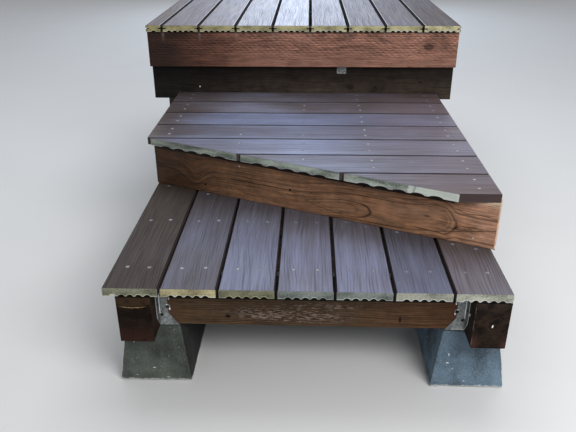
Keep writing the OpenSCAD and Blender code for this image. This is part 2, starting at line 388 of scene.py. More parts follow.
def sawn_foot(board, width, height):
    """How far a point of a board's cut end is from its lower edge, scallops and all."""
    radius = (SCALLOP_HALF ** 2 + SCALLOP_DEPTH ** 2) / (2 * SCALLOP_DEPTH)
    count = min(5, int((board.width - 2 * SCALLOP_HALF) / SCALLOP_PITCH + 0.001))
    lane = width / SCALLOP_PITCH + (0.5 if count % 2 else 0.0)
    level = height + board.thickness / 2
    scallop = span((lane.part() - 0.5) * SCALLOP_PITCH, level - (SCALLOP_DEPTH - radius)) - radius
    last = count / 2 * SCALLOP_PITCH
    return level.least(scallop + abs(width).rise(last - 0.1 * MM, last))


def board_core(finish, looks, board, place, length, width, height, edge):
    """The colour of the core on a cut end, and its crumbs."""
    crumbs = finish.noise(place, 480.0, 3.0, 0.75)
    grit = finish.speckle(place, 340.0)
    blots = finish.streaks((width + length) * 22.0, height * 45.0, board.seed, 3.0)
    ground, blotched, rimmed = (-0.08, 1.05, 0.7) if board.slanted else (0.1, 0.65, 0.9)
    core = ground + crumbs.rise(0.3, 0.7) * 0.45 + grit * 0.6 + blots.rise(0.3, 0.7) * blotched
    # Painted highlight near the cut's edges
    core = (core * board.cut).toward(shade(board.cut, 2.3), edge.rise(0.008, 0.09) * 0.7)
    # Painted highlight along the scallops' edges
    rim = 1 - sawn_foot(board, width, height).rise(0.8 * MM, 2.2 * MM)
    rim = rim * (0.3 + blots.rise(0.35, 0.55) * 0.7)
    core = core.toward(shade(board.cut, 3.6, 0.7), rim * rimmed)
    if board.slanted:
        core = core * (0.66 + finish.x.rise(-0.5, 0.25) * 0.3)
    if board.pale_from is not None:
        ragged = finish.x + (blots - 0.5) * 0.02 - board.pale_from
        core = core.toward(looks.cut_white, ragged.rise(0.0, 0.006) * 0.75)
        core = core * (1 - ragged.bell(0.021, 0.003) * 0.45)
    return core, crumbs


def board_finish(looks, board):
    """A decking board: embossed and brushed skin, and a paler core where it is cut."""
    finish = Finish(f"{board.node}_finish")
    place = finish.place - tuple(middle_of(board.node))
    spot = place, *(place.dot(axis) for axis in (board.run, board.across, Z_AXIS))
    width = spot[2]
    skin, roughness, lift = board_skin(finish, looks, board, *spot)

    # The long sides are painted dark, as shade in the gaps, below an edge painted lighter, as highlight and
    # wear
    side = finish.faces(board.across, 0.75, 0.98)
    edge, soft = finish.edges(looks.edge_width)
    skin = skin.toward(looks.brown_side, side * 0.85).toward(looks.dust, edge.rise(0.01, 0.22) * 0.3)
    # Painted shade: the top turns black along the long edges, over the gaps
    inset = board.width / 2 - abs(width)
    gap_shade_width = board.gap_shade_width * 1.3
    dirt_and_shade = (1 - inset.rise(board.gap_shade_width * 0.7, gap_shade_width)) * finish.facing.dot(Z_AXIS).rise(0.3, 0.7)
    cut_face = finish.faces(board.run, 0.9, 0.95)
    # On the deck the painted shade also runs down the cut ends beside the gaps, and the edge that faces the
    # middle gets a painted highlight
    if board.rubbed_and_lit:
        dirt_and_shade = dirt_and_shade.most((1 - inset.rise(1.6 * MM, 2.4 * MM)) * cut_face)
        inner = (width * finish.x * -40).rise(0.0, 0.3)
        skin = skin.toward(looks.rubbed_and_lit, inset.bell(gap_shade_width + 0.6 * MM, 1.0 * MM) * inner * board.rubbed_and_lit)

    # Cut ends show the core under a thin skin
    if board.slanted:
        cut_face = cut_face.most(finish.facing.dot(SLANT_OUT).rise(0.96, 0.985))
    core, crumbs = board_core(finish, looks, board, *spot, edge)
    inside = (board.top - looks.skin_thickness - finish.z).rise(0.0, 0.3 * MM)
    # Undersides are painted darker, as shade
    under = (finish.facing.dot(Z_AXIS) * -1).rise(0.3, 0.6)
    colour = skin.toward(core, cut_face * inside).toward(looks.brown_under, under * 0.6)
    roughness = (roughness + cut_face * 0.35 + side * 0.4).least(1.0)
    lift = lift - cut_face * crumbs * 0.7
    dirt_and_shade = (dirt_and_shade, looks.gap_shade)
    return finish.surface(colour, roughness, lift, looks.grain_depth, specular=0.3, normal=soft, dirt_and_shade=dirt_and_shade)


@dataclass
class Grain:
    """How the rings of a timber lie, and how it is stained.

    heart is where the tree's middle lies, up and out from the middle of the
    piece. islands are (along, up, half length, half height, lift), where the
    rings close into long ovals. knots are (along, up, radius). repeat is the
    pitch, up and out, of a node's several pieces. ends is how light the cut
    ends are, and incised how strong the slits in the sides are. drawn is a
    function of (finish, length, rise) that counts the rings itself, and says
    how clear they are.
    """

    pale: tuple
    ring: tuple
    run: tuple = X_AXIS
    out: tuple = FRONTWARD
    heart: tuple = (-0.12, -0.12)
    pitch: float = 0.0055
    contrast: float = 0.7
    ring_start: float = 0.25
    mottle: float = 0.6
    islands: tuple = ()
    knots: tuple = ()
    repeat: tuple = (0.0, 0.0)
    ends: float = 0.6
    incised: float = 0.0
    rough: float = 0.6
    shine: float = 0.35
    seed: float = 0.0
    drawn: object = None


def ring_count(finish, grain, length, rise, depth):
    """Rings counted out from the heart, how clear they are, how near a knot is, and the piece's own shift."""
    # A node of several pieces, a pitch apart, has a lane for each
    piece, lane_rise, lane_depth = 0.0, rise, depth
    if grain.repeat[0]:
        lane = rise / grain.repeat[0] + 0.5
        piece = lane.whole()
        lane_rise = (lane.part() - 0.5) * grain.repeat[0]
    if grain.repeat[1]:
        lane = depth / grain.repeat[1] + (0.5 if grain.repeat[0] else 0.0)
        piece = lane.whole() * 1.7 + piece
        lane_depth = (lane.part() - 0.5) * grain.repeat[1]
    shift = piece * 0.73 + grain.seed

    sway = finish.streaks(length * 1.5 + shift, shift, 0.0, 1.0) - 0.5
    wander = finish.streaks(length * 3.0 + shift, lane_rise * 7.0, lane_depth * 7.0) - 0.5
    ripple = finish.streaks(length * 22.0, rise * 55.0, depth * 55.0) - 0.5
    off_up = lane_rise - grain.heart[0] + sway * 0.03
    bent = None
    for along, above, radius in grain.knots:
        level = lane_rise - above
        away = span((length - along) / 1.6, level)
        off_up = off_up - level * away.bell(0.0, radius * 2.4) * 0.8
        bent = away / radius if bent is None else bent.least(away / radius)
    if grain.drawn is not None:
        rings, clear = grain.drawn(finish, length, rise)
        return rings + ripple * 0.2, clear, bent, shift
    reach = span(off_up, lane_depth - grain.heart[1]) + wander * 0.022
    for *oval, lift in grain.islands:
        reach = reach + finish.oval(length, lane_rise, *oval) * lift
    return reach / grain.pitch + ripple * 0.45 + shift, 1.0, bent, shift


def timber_finish(node, grain, marks=()):
    """Stained softwood with growth rings that run through it.

    marks are functions that paint what is the piece's own, in turn.
    """
    finish = Finish(f"{node}_finish")
    up = Vector(grain.out).cross(Vector(grain.run))
    up = tuple(-up if up.z < 0 else up)
    place = finish.place - tuple(middle_of(node))
    length, rise, depth = place.dot(grain.run), place.dot(up), place.dot(grain.out)
    rings, clear, bent, shift = ring_count(finish, grain, length, rise, depth)
    step = rings.part()
    worth = finish.streaks(length * 1.4, rings.whole() * 3.7, shift, 1.0).rise(0.36, 0.62)
    late = step.rise(grain.ring_start, 0.9) * (1 - step.rise(0.92, 1.0)) * (0.25 + worth * 0.75) * clear

    # Fibres follow the rings, and the finest run straight
    strand = finish.streaks(length * 6.0 + shift, rings * 2.1, depth * 40.0, 3.0, 0.65)
    fibre = finish.streaks(length * 16.0, rings * 6.5, shift, 2.0, 0.6)
    hair = finish.streaks(length * 12.0 + shift, rise * 640.0, depth * 640.0)
    blotch = finish.noise(place + (grain.seed, grain.seed, grain.seed), 8.0, 3.0)
    mottle = finish.noise(place + (grain.seed, 0.0, grain.seed), 38.0, 4.0, 0.65)
    colour = finish.blend(late * grain.contrast, grain.pale, grain.ring)
    light = 0.3 + strand.rise(0.28, 0.72) * 0.6 + fibre.rise(0.28, 0.72) * 0.42 + hair.rise(0.3, 0.7) * 0.4
    colour = colour * (light + (blotch - 0.5) * 1.0 + (mottle - 0.5) * grain.mottle).most(0.05)

    end_face = finish.faces(grain.run, 0.8, 0.95)
    split = finish.streaks(length * 3.2 + shift, rings * 0.8, 5.0)
    split = split.bell(0.5, 0.01) * blotch.rise(0.5, 0.6) * strand.rise(0.35, 0.6)
    if bent is not None:
        ring_round = (bent * 2.6).part()
        colour = colour.toward(shade(grain.ring, 0.7), bent.bell(1.1, 0.35) * 0.4)
        knot = finish.blend(ring_round, (0.012, 0.008, 0.007), shade(grain.ring, 0.6))
        colour = colour.toward(knot, (1 - bent.rise(0.75, 1.1)) * 0.85)
    colour = colour.tinted(grain.ends, end_face)
    slits = 0.0
    if grain.incised:
        slits, lips = incised_slits(finish, length, rise)
        shown = (1 - end_face) * (0.2 + rise.rise(-0.05, 0.0) * 0.8) * grain.incised
        colour = colour * (1 - slits * shown * 0.68) * (1 + lips * shown * 0.75)
        slits = slits * shown
    colour = colour * (1 - split * 0.6)
    edge, soft = finish.edges(1.6 * MM)
    colour = colour.toward(grain.pale, edge.rise(0.02, 0.3) * 0.2)
    for paint in marks:
        colour = paint(finish, length, rise, colour)
    roughness = grain.rough + (fibre - 0.5) * 0.25 + end_face * 0.12
    lift = hair * 0.3 + strand * 0.35 - late * 0.12 - split * 0.8 - slits * 1.4
    return finish.surface(colour, roughness, lift, 0.9 * MM, specular=grain.shine, normal=soft)


def incised_slits(finish, length, rise):
    """Rows of short slits, each with a raised lip below, where preservative was pressed in."""
    row_pitch, slit_pitch = 9.2 * MM, 24.0 * MM
    waver = finish.streaks(length * 17.0, rise * 26.0, 2.0) - 0.5
    row = (rise + waver * 0.009) / row_pitch + 40.0
    line = row.whole()
    dash = (length / slit_pitch + line * 0.5 + waver * 0.6).part()
    level = row.part() + (dash - 0.5) * 0.35
    lasting = finish.streaks(length * 14.0, line * 5.1, 1.0).rise(0.3, 0.55)
    within = dash.rise(0.02, 0.2) * (1 - dash.rise(0.62, 0.9)) * lasting
    return within * level.bell(0.5, 0.15), within * level.bell(0.14, 0.15)


def concrete_finish(name, tint, looks, shaded_side=0.0, chips=()):
    """Cast concrete: clouded, pitted and speckled, with a ragged pale line along the ground.

    The side that faces right is painted darker by a share, as shade. chips are (x, z, half
    width, half height) of white chips in the foremost face.
    """
    finish = Finish(name)
    place = finish.place
    across = place.dot((1.0, 1.0, 0.0))
    level = place.dot(Z_AXIS)
    cloud = finish.noise(place, 11.0, 4.0, 0.6)
    streak = finish.streaks(across * 30.0, level * 5.0, 1.0, 3.0)
    grit = finish.noise(place, 330.0, 4.0, 0.75)
    sand = finish.speckle(place, 520.0)
    hole = finish.cells(place, 130.0)
    pits = (1 - hole.rise(0.10, 0.2)) * finish.noise(place, 26.0, 1.0).rise(0.52, 0.6)
    fleck = 1 - finish.cells(place + (0.3, 0.1, 0.2), 170.0).rise(0.10, 0.22)
    fleck = fleck * finish.noise(place + (0.0, 3.0, 0.0), 34.0, 1.0).rise(0.55, 0.64)
    scar = finish.noise(place * (1.0, 1.0, 0.45), 46.0, 2.0).rise(0.71, 0.74)
    ragged = level + (finish.noise(place, 90.0, 3.0, 0.7) - 0.5) * 0.016
    lime = (1 - ragged.rise(0.0040, 0.0080)) * grit.rise(0.3, 0.45)

    grains = finish.noise(place, 190.0, 4.0, 0.8)
    speckled = grit.rise(0.36, 0.64) * 0.4 + sand * 0.45 + streak.rise(0.3, 0.7) * 0.25
    speckled = speckled + (grains - 0.5) * 1.1
    colour = (cloud.rise(0.3, 0.7) * 0.8 + speckled).most(0.12) * tuple(tint)
    colour = colour * (1.12 - level.rise(0.03, 0.12) * 0.3)
    colour = colour.toward(looks.fleck, fleck * 0.6)
    colour = colour.toward(looks.fleck, scar * 0.7)
    colour = colour * (1 - pits * 0.5)
    edge, soft = finish.edges(3.5 * MM)
    worn = edge.rise(0.02, 0.3) * grit.rise(0.4, 0.6)
    colour = colour.toward(looks.fleck, worn * 0.3)
    # Painted shade on the side that faces right
    colour = colour * (1 - finish.facing.dot(X_AXIS).rise(0.4, 0.8) * shaded_side)
    colour = colour.toward(looks.fleck, lime * 0.9)
    foremost = 1 - place.dot(Y_AXIS).rise(STEPS_FRONT + 0.10, STEPS_FRONT + 0.11)
    for oval in chips:
        chip = finish.oval(finish.x, level, *oval) * foremost + (grit - 0.5) * 1.3
        colour = colour.toward(looks.chip, chip.rise(0.4, 0.75) * 0.9)
    roughness = 0.78 + (grit - 0.5) * 0.3
    lift = grit * 0.5 + sand * 0.15 + cloud * 0.5 - pits * 1.2
    return finish.surface(colour, roughness, lift, looks.pit_depth, specular=0.3, normal=soft)


def hanger_painted_light(finish, colour, looks):
    """A hanger is painted dark on its flanges, as shade, and bright along the fold at its foot and its front
    edge, as highlight; it is darker at its tip.
    """
    flange = finish.faces(X_AXIS, 0.6, 0.9)
    colour = colour * (1 - flange * 0.55)
    x, up = finish.x, finish.z - JOIST_FOOT
    out = (x - BEAM_FACE_LEFT).least(BEAM_FACE_RIGHT - x)
    tip = out.rise(30 * MM, 37 * MM)
    colour = colour * (1 - tip * 0.45)
    # Painted highlight along the fold at the foot
    foot = (1 - up.rise(1.0 * MM, 3.0 * MM)) * (1 - tip) * (1 - flange)
    colour = colour.toward(looks.zinc_pale, foot * x.rise(-0.1, 0.1) * 0.15)
    # Painted highlight along the front edge
    rim = (1 - out.rise(1.3 * MM, 1.8 * MM)) * (finish.facing.dot(Y_AXIS) * -1).rise(0.5, 0.8)
    colour = colour.toward(looks.zinc_pale, rim * 0.9)
    # Painted shade round the open hole beside the fold
    hole = 1 - span(out - HOLE_OUT, up - HOLE_UP).rise(4.3 * MM, 5.6 * MM)
    return colour * (1 - hole * (1 - flange) * 0.93)


def zinc_finish(name, looks, light=1.0, painted_shading=None, polish=0.75):
    """Galvanised steel with a dull mottled bloom, bright along its edges."""
    finish = Finish(name)
    place = finish.place
    spangle = finish.speckle(place, 1.0 / looks.spangle)
    bloom = finish.noise(place, 130.0, 3.0, 0.65)
    stain = finish.noise(place, 32.0, 3.0, 0.6)
    scratch = finish.streaks(place.dot((700.0, 700.0, 0.0)), 0.0, place.dot(Z_AXIS) * 40.0)
    colour = finish.blend(spangle * 0.6, looks.zinc, looks.zinc_pale) * (0.55 + bloom * 0.4 + stain * 0.5)
    edge, soft = finish.edges(0.8 * MM)
    bright = edge.rise(0.03, 0.25) * stain.rise(0.35, 0.55)
    colour = colour * light
    # Painted light and shade of a hanger, where given
    if painted_shading is not None:
        colour = painted_shading(finish, colour, looks)
    colour = colour.toward(looks.zinc_pale, bright * 0.8)
    roughness = 0.4 + spangle * 0.12 + bloom * 0.22
    metallic = polish * (1 - bloom.rise(0.45, 0.75) * 0.6)
    lift = bloom * 0.6 + scratch * 0.2
    return finish.surface(colour, roughness, lift, 0.15 * MM, metallic, normal=soft)


def screw_finish(name, colour, rough, clear_columns=(), dullest=0.3):
    """Coated screw steel, each head dulled by its own share. Heads at clear_columns stay bright."""
    finish = Finish(name)
    rub = finish.noise(finish.place, 320.0, 2.0)
    clear = finish.speckle(finish.place, 16.0).rise(0.35, 0.7)
    across = finish.x
    for column in clear_columns:
        clear = clear.most(across.bell(column, 0.03))
    tint = finish.blend(rub.rise(0.35, 0.7), shade(colour, 0.6), colour)
    tint = tint * (dullest + clear * (1 - dullest))
    return finish.surface(tint, rough + rub * 0.2, rub, 0.1 * MM, 0.7)


def lip_finish(looks):
    """Board skin pushed up round a screw, scuffed pale along its crest."""
    finish = Finish("screw_lip_finish")
    rub = finish.noise(finish.place, 300.0, 2.0)
    pale = rub.rise(0.45, 0.7) * finish.speckle(finish.place, 15.0).rise(0.4, 0.75)
    tint = finish.blend(pale * 0.6, shade(looks.slate, 0.9), looks.dust)
    return finish.surface(tint, 0.5 + rub * 0.2, rub, 0.2 * MM)


def clip_finish():
    """Black coated board clips in the slots of the deck."""
    finish = Finish("board_clip_finish")
    dirt_and_shade = finish.noise(finish.place, 150.0, 3.0)
    tint = finish.blend(dirt_and_shade.rise(0.45, 0.8), (0.012, 0.012, 0.013), (0.06, 0.052, 0.045))
    return finish.surface(tint, 0.45 + dirt_and_shade * 0.3, dirt_and_shade, 0.15 * MM)


# Small shapes


def add_piece(name, shape, material):
    """Turns a bmesh into a piece that rides on the stairs."""
    bmesh.ops.recalc_face_normals(shape, faces=shape.faces)
    mesh = bpy.data.meshes.new(name)
    shape.to_mesh(mesh)
    shape.free()
    mesh.polygons.foreach_set("use_smooth", [True] * len(mesh.polygons))
    mesh.set_sharp_from_angle(angle=math.radians(38))
    mesh.materials.append(material)
    piece = bpy.data.objects.new(name, mesh)
    bpy.context.scene.collection.objects.link(piece)
    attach(piece, BODY)
    return piece


def turned(shape, profile, turn, segments=20, lobes=6, closed=False):
    """A turned shape: profile is (radius, height, lobe) in mm from rim to middle."""
    rings = []
    for radius, height, lobe in profile:
        if radius == 0:
            rings.append([shape.verts.new(turn @ Vector((0, 0, height * MM)))])
            continue
        ring = []
        for index in range(segments):
            angle = 2 * math.pi * index / segments
            reach = radius * MM * (1 + lobe * math.cos(lobes * angle))
            spot = Vector((reach * math.cos(angle), reach * math.sin(angle), height * MM))
            ring.append(shape.verts.new(turn @ spot))
        rings.append(ring)
    pairs = list(zip(rings, rings[1:]))
    if closed:
        pairs.append((rings[-1], rings[0]))
    for outer, inner in pairs:
        for index in range(len(outer)):
            after = (index + 1) % len(outer)
            if len(inner) == 1:
                shape.faces.new((outer[index], outer[after], inner[0]))
            else:
                shape.faces.new((outer[index], outer[after], inner[after], inner[index]))
    if not closed:
        shape.faces.new(list(reversed(rings[0])))


def facing_out(spot, out, spin=0.0, tilt=0.0, tip=0.0):
    """Matrix that puts a turned shape at spot, its top facing out."""
    lean = Matrix.Rotation(tilt, 4, "X") @ Matrix.Rotation(tip, 4, "Y")
    face = Vector(out).to_track_quat("Z", "Y").to_matrix().to_4x4()
    return Matrix.Translation(spot) @ face @ lean @ Matrix.Rotation(spin, 4, "Z")


def swept(shape, outline, start, end):
    """A closed outline of points, carried from start to end and capped."""
    near = [shape.verts.new(Vector(start) + Vector(p)) for p in outline]
    far = [shape.verts.new(Vector(end) + Vector(p)) for p in outline]
    for index in range(len(outline)):
        after = (index + 1) % len(outline)
        shape.faces.new((near[index], near[after], far[after], far[index]))
    shape.faces.new(near)
    shape.faces.new(list(reversed(far)))


def curled_tab(shape, root, along, off, width, radius, turn, tail):
    """A punched tab of sheet steel: it leaves root along the plate and curls off it."""
    along, off = Vector(along), Vector(off)
    steps, thickness = 8, 1.3 * MM
    under, over = [], []
    for step in range(steps + 1):
        angle = turn * step / steps
        spot = along * radius * math.sin(angle) + off * radius * (1 - math.cos(angle))
        thick = off * math.cos(angle) - along * math.sin(angle)
        under.append(spot)
        over.append(spot + thick * thickness)
    ahead = (along * math.cos(turn) + off * math.sin(turn)) * tail
    under.append(under[-1] + ahead)
    over.append(over[-1] + ahead)
    outline = under + over[::-1]
    half = along.cross(off) * width / 2
    swept(shape, outline, Vector(root) - half, Vector(root) + half)


def bend_fold(shape, x, y, out, side, low, high, radius):
    """The rounded inner corner where a hanger's plate turns into its flange."""
    outline = [(0.0, 0.0, 0.0)]
    for step in range(9):
        angle = math.pi / 2 * step / 8
        outline.append((out * radius * (1 - math.sin(angle)), side * radius * (1 - math.cos(angle)), 0.0))
    swept(shape, outline, (x, y, low), (x, y, high))


SCREW_HEAD = [(4.3, -0.6, 0), (4.2, 0.1, 0), (3.9, 0.34, 0), (3.1, 0.42, 0), (2.0, 0.38, 0.12),
              (1.7, -0.3, 0.12), (0, -0.4, 0)]
SCREW_LIP = [(7.4, -0.3, 0), (6.6, 0.12, 0), (5.8, 0.5, 0), (5.1, 0.62, 0), (4.6, 0.45, 0),
             (4.25, -0.5, 0)]
NAIL_HEAD = [(3.7, -0.5, 0), (3.8, 0.7, 0), (3.4, 1.2, 0), (2.3, 1.6, 0), (0, 1.8, 0)]
BULGING_NAIL = [(4.6, -0.5, 0), (4.8, 1.2, 0), (4.6, 2.6, 0), (3.7, 3.9, 0), (2.0, 4.8, 0), (0, 5.0, 0)]
NAIL_BURR = [(6.2, -0.3, 0.16), (6.4, 0.6, 0.16), (6.0, 1.1, 0.14), (5.2, 1.0, 0.1), (4.4, 0.3, 0)]
SUNK_NAIL = [(4.4, -0.9, 0), (4.2, 0.0, 0), (3.8, 0.15, 0), (3.4, 0.05, 0), (1.4, 0.0, 0), (0, 0.0, 0)]
PRESSED_RING = [(9.2, -0.2, 0), (8.8, 0.5, 0), (8.0, 0.8, 0), (7.2, 0.5, 0), (6.8, -0.2, 0)]
DIMPLE = [(2.2, -0.2, 0), (1.8, 0.5, 0), (0.9, 0.8, 0), (0, 0.9, 0)]
CLIP_SCREW = [(2.4, 0, 0), (2.3, 0.5, 0), (1.1, 0.6, 0.1), (1.0, 0, 0.1), (0, -0.1, 0)]


def screws(name, spots, top, looks, rng, clear_columns=()):
    """Screw heads. Gives back the lips of board skin round them."""
    heads, lips = bmesh.new(), bmesh.new()
    scale = Matrix.Scale(looks.head_radius / (SCREW_HEAD[0][0] * MM), 4)
    for x, y in spots:
        spot = Vector((x + rng.uniform(-2, 2) * MM, y + rng.uniform(-3, 3) * MM, top))
        turn = facing_out(spot, Z_AXIS, rng.uniform(0, 1), rng.gauss(0, 0.03), rng.gauss(0, 0.03)) @ scale
        turned(heads, SCREW_HEAD, turn, 24)
        turned(lips, SCREW_LIP, turn, 24, closed=True)
    metal = screw_finish(f"{name}_finish", looks.screw, 0.35, clear_columns, dullest=0.5)
    add_piece(f"{name}_heads", heads, metal)
    return lips


# Settings


def colour_setting(name, description, default):
    return FloatVectorProperty(
        name=name, description=description, default=default, subtype="COLOR", size=3, min=0, max=1
    )


def length_setting(name, description, default, most=0.1):
    return FloatProperty(
        name=name, description=description, default=default, min=0, max=most, unit="LENGTH", precision=5
    )


def power_setting(name, description, default):
    return FloatProperty(name=name, description=description, default=default, min=0, max=2000, unit="POWER")


class BoardLooks(bpy.types.PropertyGroup):
    """Colours and grain of the decking boards."""

    brown: colour_setting("Brown skin", "Skin of the browner boards", (0.085, 0.064, 0.060))
    # The slate skin's blue is partly a painted sky reflection
    slate: colour_setting("Slate skin", "Skin of the greyer boards", (0.112, 0.120, 0.182))
    # The underside, side and gap colours are painted shade, and the rubbed edge colour a painted highlight
    brown_under: colour_setting("Underside", "Scalloped undersides", (0.05, 0.04, 0.035))
    brown_side: colour_setting("Sides", "Long sides of the boards, in the gaps", (0.046, 0.030, 0.027))
    gap_shade: colour_setting("Gap dirt", "Dirt along the boards' long edges", (0.006, 0.005, 0.006))
    rubbed_and_lit: colour_setting("Rubbed edge", "Edges that face the middle of the stairs", (0.60, 0.62, 0.70))
    dust: colour_setting("Dust", "Dust, scuffs and rubbed edges", (0.36, 0.34, 0.36))
    cut_cream: colour_setting("Cream cut", "Palest cut ends", (0.32, 0.33, 0.27))
    cut_yellow: colour_setting("Yellow cut", "Yellowish cut ends", (0.36, 0.32, 0.18))
    cut_straw: colour_setting("Straw cut", "Cut end of the deck's first board", (0.29, 0.26, 0.125))
    cut_bleached: colour_setting("Bleached cut", "Cut end of the deck's last board", (0.46, 0.43, 0.25))
    cut_olive: colour_setting("Olive cut", "Olive cut ends", (0.19, 0.19, 0.135))
    cut_grey: colour_setting("Grey cut", "Grey-green cut ends", (0.155, 0.175, 0.16))
    cut_pale: colour_setting("Pale cut", "Slanted cut of the upper step", (0.34, 0.385, 0.33))
    cut_moss: colour_setting("Moss cut", "Greenest cut ends", (0.145, 0.145, 0.090))
    cut_sand: colour_setting("Sand cut", "Sandy cut ends", (0.25, 0.258, 0.21))
    cut_white: colour_setting("White cut", "Cut that is nearly white", (0.62, 0.66, 0.60))
    grain_depth: length_setting("Grain depth", "Depth of the brushed grain", 0.0004, 0.01)
    line_pitch: length_setting("Line pitch", "Distance between embossed lines", 0.0075, 0.05)
    edge_width: length_setting("Edge width", "Width of the rubbed edges", 0.0024, 0.01)
    skin_thickness: length_setting("Skin thickness", "Thickness of the skin over the core", 0.0006, 0.01)


class TimberLooks(bpy.types.PropertyGroup):
    """Colours of the stained timber."""

    early: colour_setting("Pale wood", "Pale wood between the rings", (0.27, 0.142, 0.078))
    late: colour_setting("Ring wood", "Dark lines of the rings", (0.085, 0.036, 0.018))
    rim_early: colour_setting("Rim pale wood", "Pale wood of the deck rim", (0.25, 0.122, 0.086))
    rim_late: colour_setting("Rim ring wood", "Rings of the deck rim", (0.13, 0.052, 0.034))
    joist_early: colour_setting("Joist pale wood", "Pale wood of the joists", (0.076, 0.045, 0.023))
    joist_late: colour_setting("Joist ring wood", "Rings of the joists", (0.030, 0.014, 0.008))
    joist_worn: colour_setting("Worn joist", "Flecks where the stain is rubbed off", (0.29, 0.21, 0.165))
    dark_early: colour_setting("Beam pale wood", "Pale wood of the beams", (0.0185, 0.0108, 0.0068))
    dark_late: colour_setting("Beam ring wood", "Rings of the beams", (0.008, 0.0044, 0.0034))
    grey_early: colour_setting("Old pale wood", "Pale wood of the deck beams", (0.036, 0.026, 0.020))
    grey_late: colour_setting("Old ring wood", "Rings of the deck beams", (0.016, 0.012, 0.009))
    split_pale: colour_setting("Pale split", "Bare wood in a split", (0.42, 0.30, 0.14))


class PierLooks(bpy.types.PropertyGroup):
    """Colours and roughness of the cast piers."""

    # The left piers' greener, darker tint is painted shade and the right piers' bluer, lighter tint painted
    # light, over one concrete
    shaded_pier_tint: colour_setting("Left tint", "Tint of the piers on the left", (0.071, 0.081, 0.070))
    lit_pier_tint: colour_setting("Right tint", "Tint of the piers on the right", (0.098, 0.144, 0.188))
    fleck: colour_setting("Flecks", "Pale flecks and chipped edges", (0.50, 0.52, 0.50))
    chip: colour_setting("Chips", "White chips", (0.72, 0.76, 0.78))
    pit_depth: length_setting("Pit depth", "Depth of the pits", 0.0009, 0.01)
    edge_radius: length_setting("Edge radius", "Radius of the worn edges", 0.005, 0.02)
    lean: length_setting("Lean", "How far each side leans in from foot to top", 0.025, 0.1)


class SteelLooks(bpy.types.PropertyGroup):
    """Colours and sizes of the steel fixings."""

    zinc: colour_setting("Zinc", "Galvanised steel", (0.105, 0.118, 0.12))
    zinc_pale: colour_setting("Pale zinc", "Bright edges and folds", (0.66, 0.69, 0.68))
    screw: colour_setting("Screws", "Coated screw heads", (0.62, 0.58, 0.55))
    nail: colour_setting("Nails", "Hanger nails", (0.035, 0.034, 0.032))
    shiny: colour_setting("Shiny nails", "Nail heads that show in the frame", (0.86, 0.80, 0.74))
    rust: colour_setting("Old nails", "Nails darkened by stain", (0.012, 0.009, 0.008))
    spangle: length_setting("Spangle", "Size of the zinc spangle", 0.004, 0.05)
    head_radius: length_setting("Head radius", "Radius of the screw heads", 0.0038, 0.01)
    bend_radius: length_setting("Bend radius", "Inner radius of the hangers' folds", 0.0020, 0.01)


class StageLooks(bpy.types.PropertyGroup):
    """Floor, backdrop and lamps."""

    floor: colour_setting("Floor", "Plain pale floor", (0.72, 0.72, 0.72))
    backdrop: colour_setting("Backdrop", "Plain pale backdrop", (0.86, 0.87, 0.88))
    sky: FloatProperty(
        name="Room light", description="Strength of the light all round", default=0.42,
        min=0, max=5, subtype="FACTOR",
    )
    top_lamp: power_setting("Top lamp", "Lamp overhead", 60)
    front_lamp: power_setting("Front lamp", "Lamp in front, on the right", 62)
    back_lamp: power_setting("Back lamp", "Broad lamp behind, which the boards' sheen shows", 95)


GROUPS = {
    "stair_boards": BoardLooks,
    "stair_timber": TimberLooks,
    "stair_piers": PierLooks,
    "stair_steel": SteelLooks,
    "stair_stage": StageLooks,
}


# Operators

# How slate each board of the lower step is, how light and rough, and which cut it shows
LOWER_SKINS = [
    (0.0, 0.54, 0.72, "cut_olive"), (0.6, 0.86, 0.46, "cut_yellow"), (0.9, 1.15, 0.42, "cut_moss"),
    (0.85, 1.24, 0.42, "cut_grey"), (0.9, 1.36, 0.42, "cut_grey"), (0.9, 0.88, 0.45, "cut_sand"),
    (0.3, 1.26, 0.50, "cut_cream"),
]
# The same for the upper step, from front to back, without the cut
UPPER_SKINS = [
    (0.35, 1.06, 0.54), (0.6, 1.05, 0.48), (0.85, 1.2, 0.38), (0.7, 1.1, 0.38), (1.0, 1.15, 0.38),
    (0.35, 1.1, 0.42), (0.25, 1.05, 0.44),
]


def lower_painted_shade(finish, skin):
    """The lower step's boards are painted darker and browner towards the riser, as shade."""
    far = finish.y + finish.x * 0.30
    ragged = finish.noise(finish.place * (14.0, 4.0, 1.0), 1.0, 2.0) - 0.5
    return skin.tinted((0.70, 0.64, 0.52), (far + ragged * 0.1).rise(-1.05, -0.76) * 0.95)


def upper_painted_light(finish, skin):
    """The upper step's boards are painted brown and dark at their left ends, as shade, and lighter and bluer
    in the middle and warmer at the right, as painted reflection.
    """
    x, y = finish.x, finish.y
    ragged = finish.noise(finish.place * (3.0, 16.0, 1.0), 1.0, 3.0) - 0.5
    left = 1 - (x + ragged * 0.3 - y * 0.25).rise(-0.44, -0.16)
    left = left * (1 - y.rise(-0.32, -0.12) * 0.6)
    skin = skin.tinted((0.48, 0.34, 0.22), left)
    middle = (x + y * 0.35 + ragged * 0.3).bell(-0.24, 0.22)
    skin = skin.tinted((1.45, 1.60, 1.68), middle)
    right = (x + ragged * 0.2).rise(0.12, 0.45)
    return skin.tinted((1.12, 0.98, 0.90), right)


class STAIRS_OT_lower_boards(bpy.types.Operator):
    """Finish the seven boards of the lower step"""

    bl_idname = "stairs.lower_boards"
    bl_label = "Lower Step Boards"

    def execute(self, context):
        looks = context.scene.stair_boards
        for index, (node, (*skin, cut)) in enumerate(zip(LOWER_BOARDS, LOWER_SKINS)):
            cut_colour = tuple(getattr(looks, cut))
            board = Board(node, Y_AXIS, *skin, cut_colour, 3.1 * index, painted_light=lower_painted_shade)
            dress(node, board_finish(looks, board))
        return {"FINISHED"}


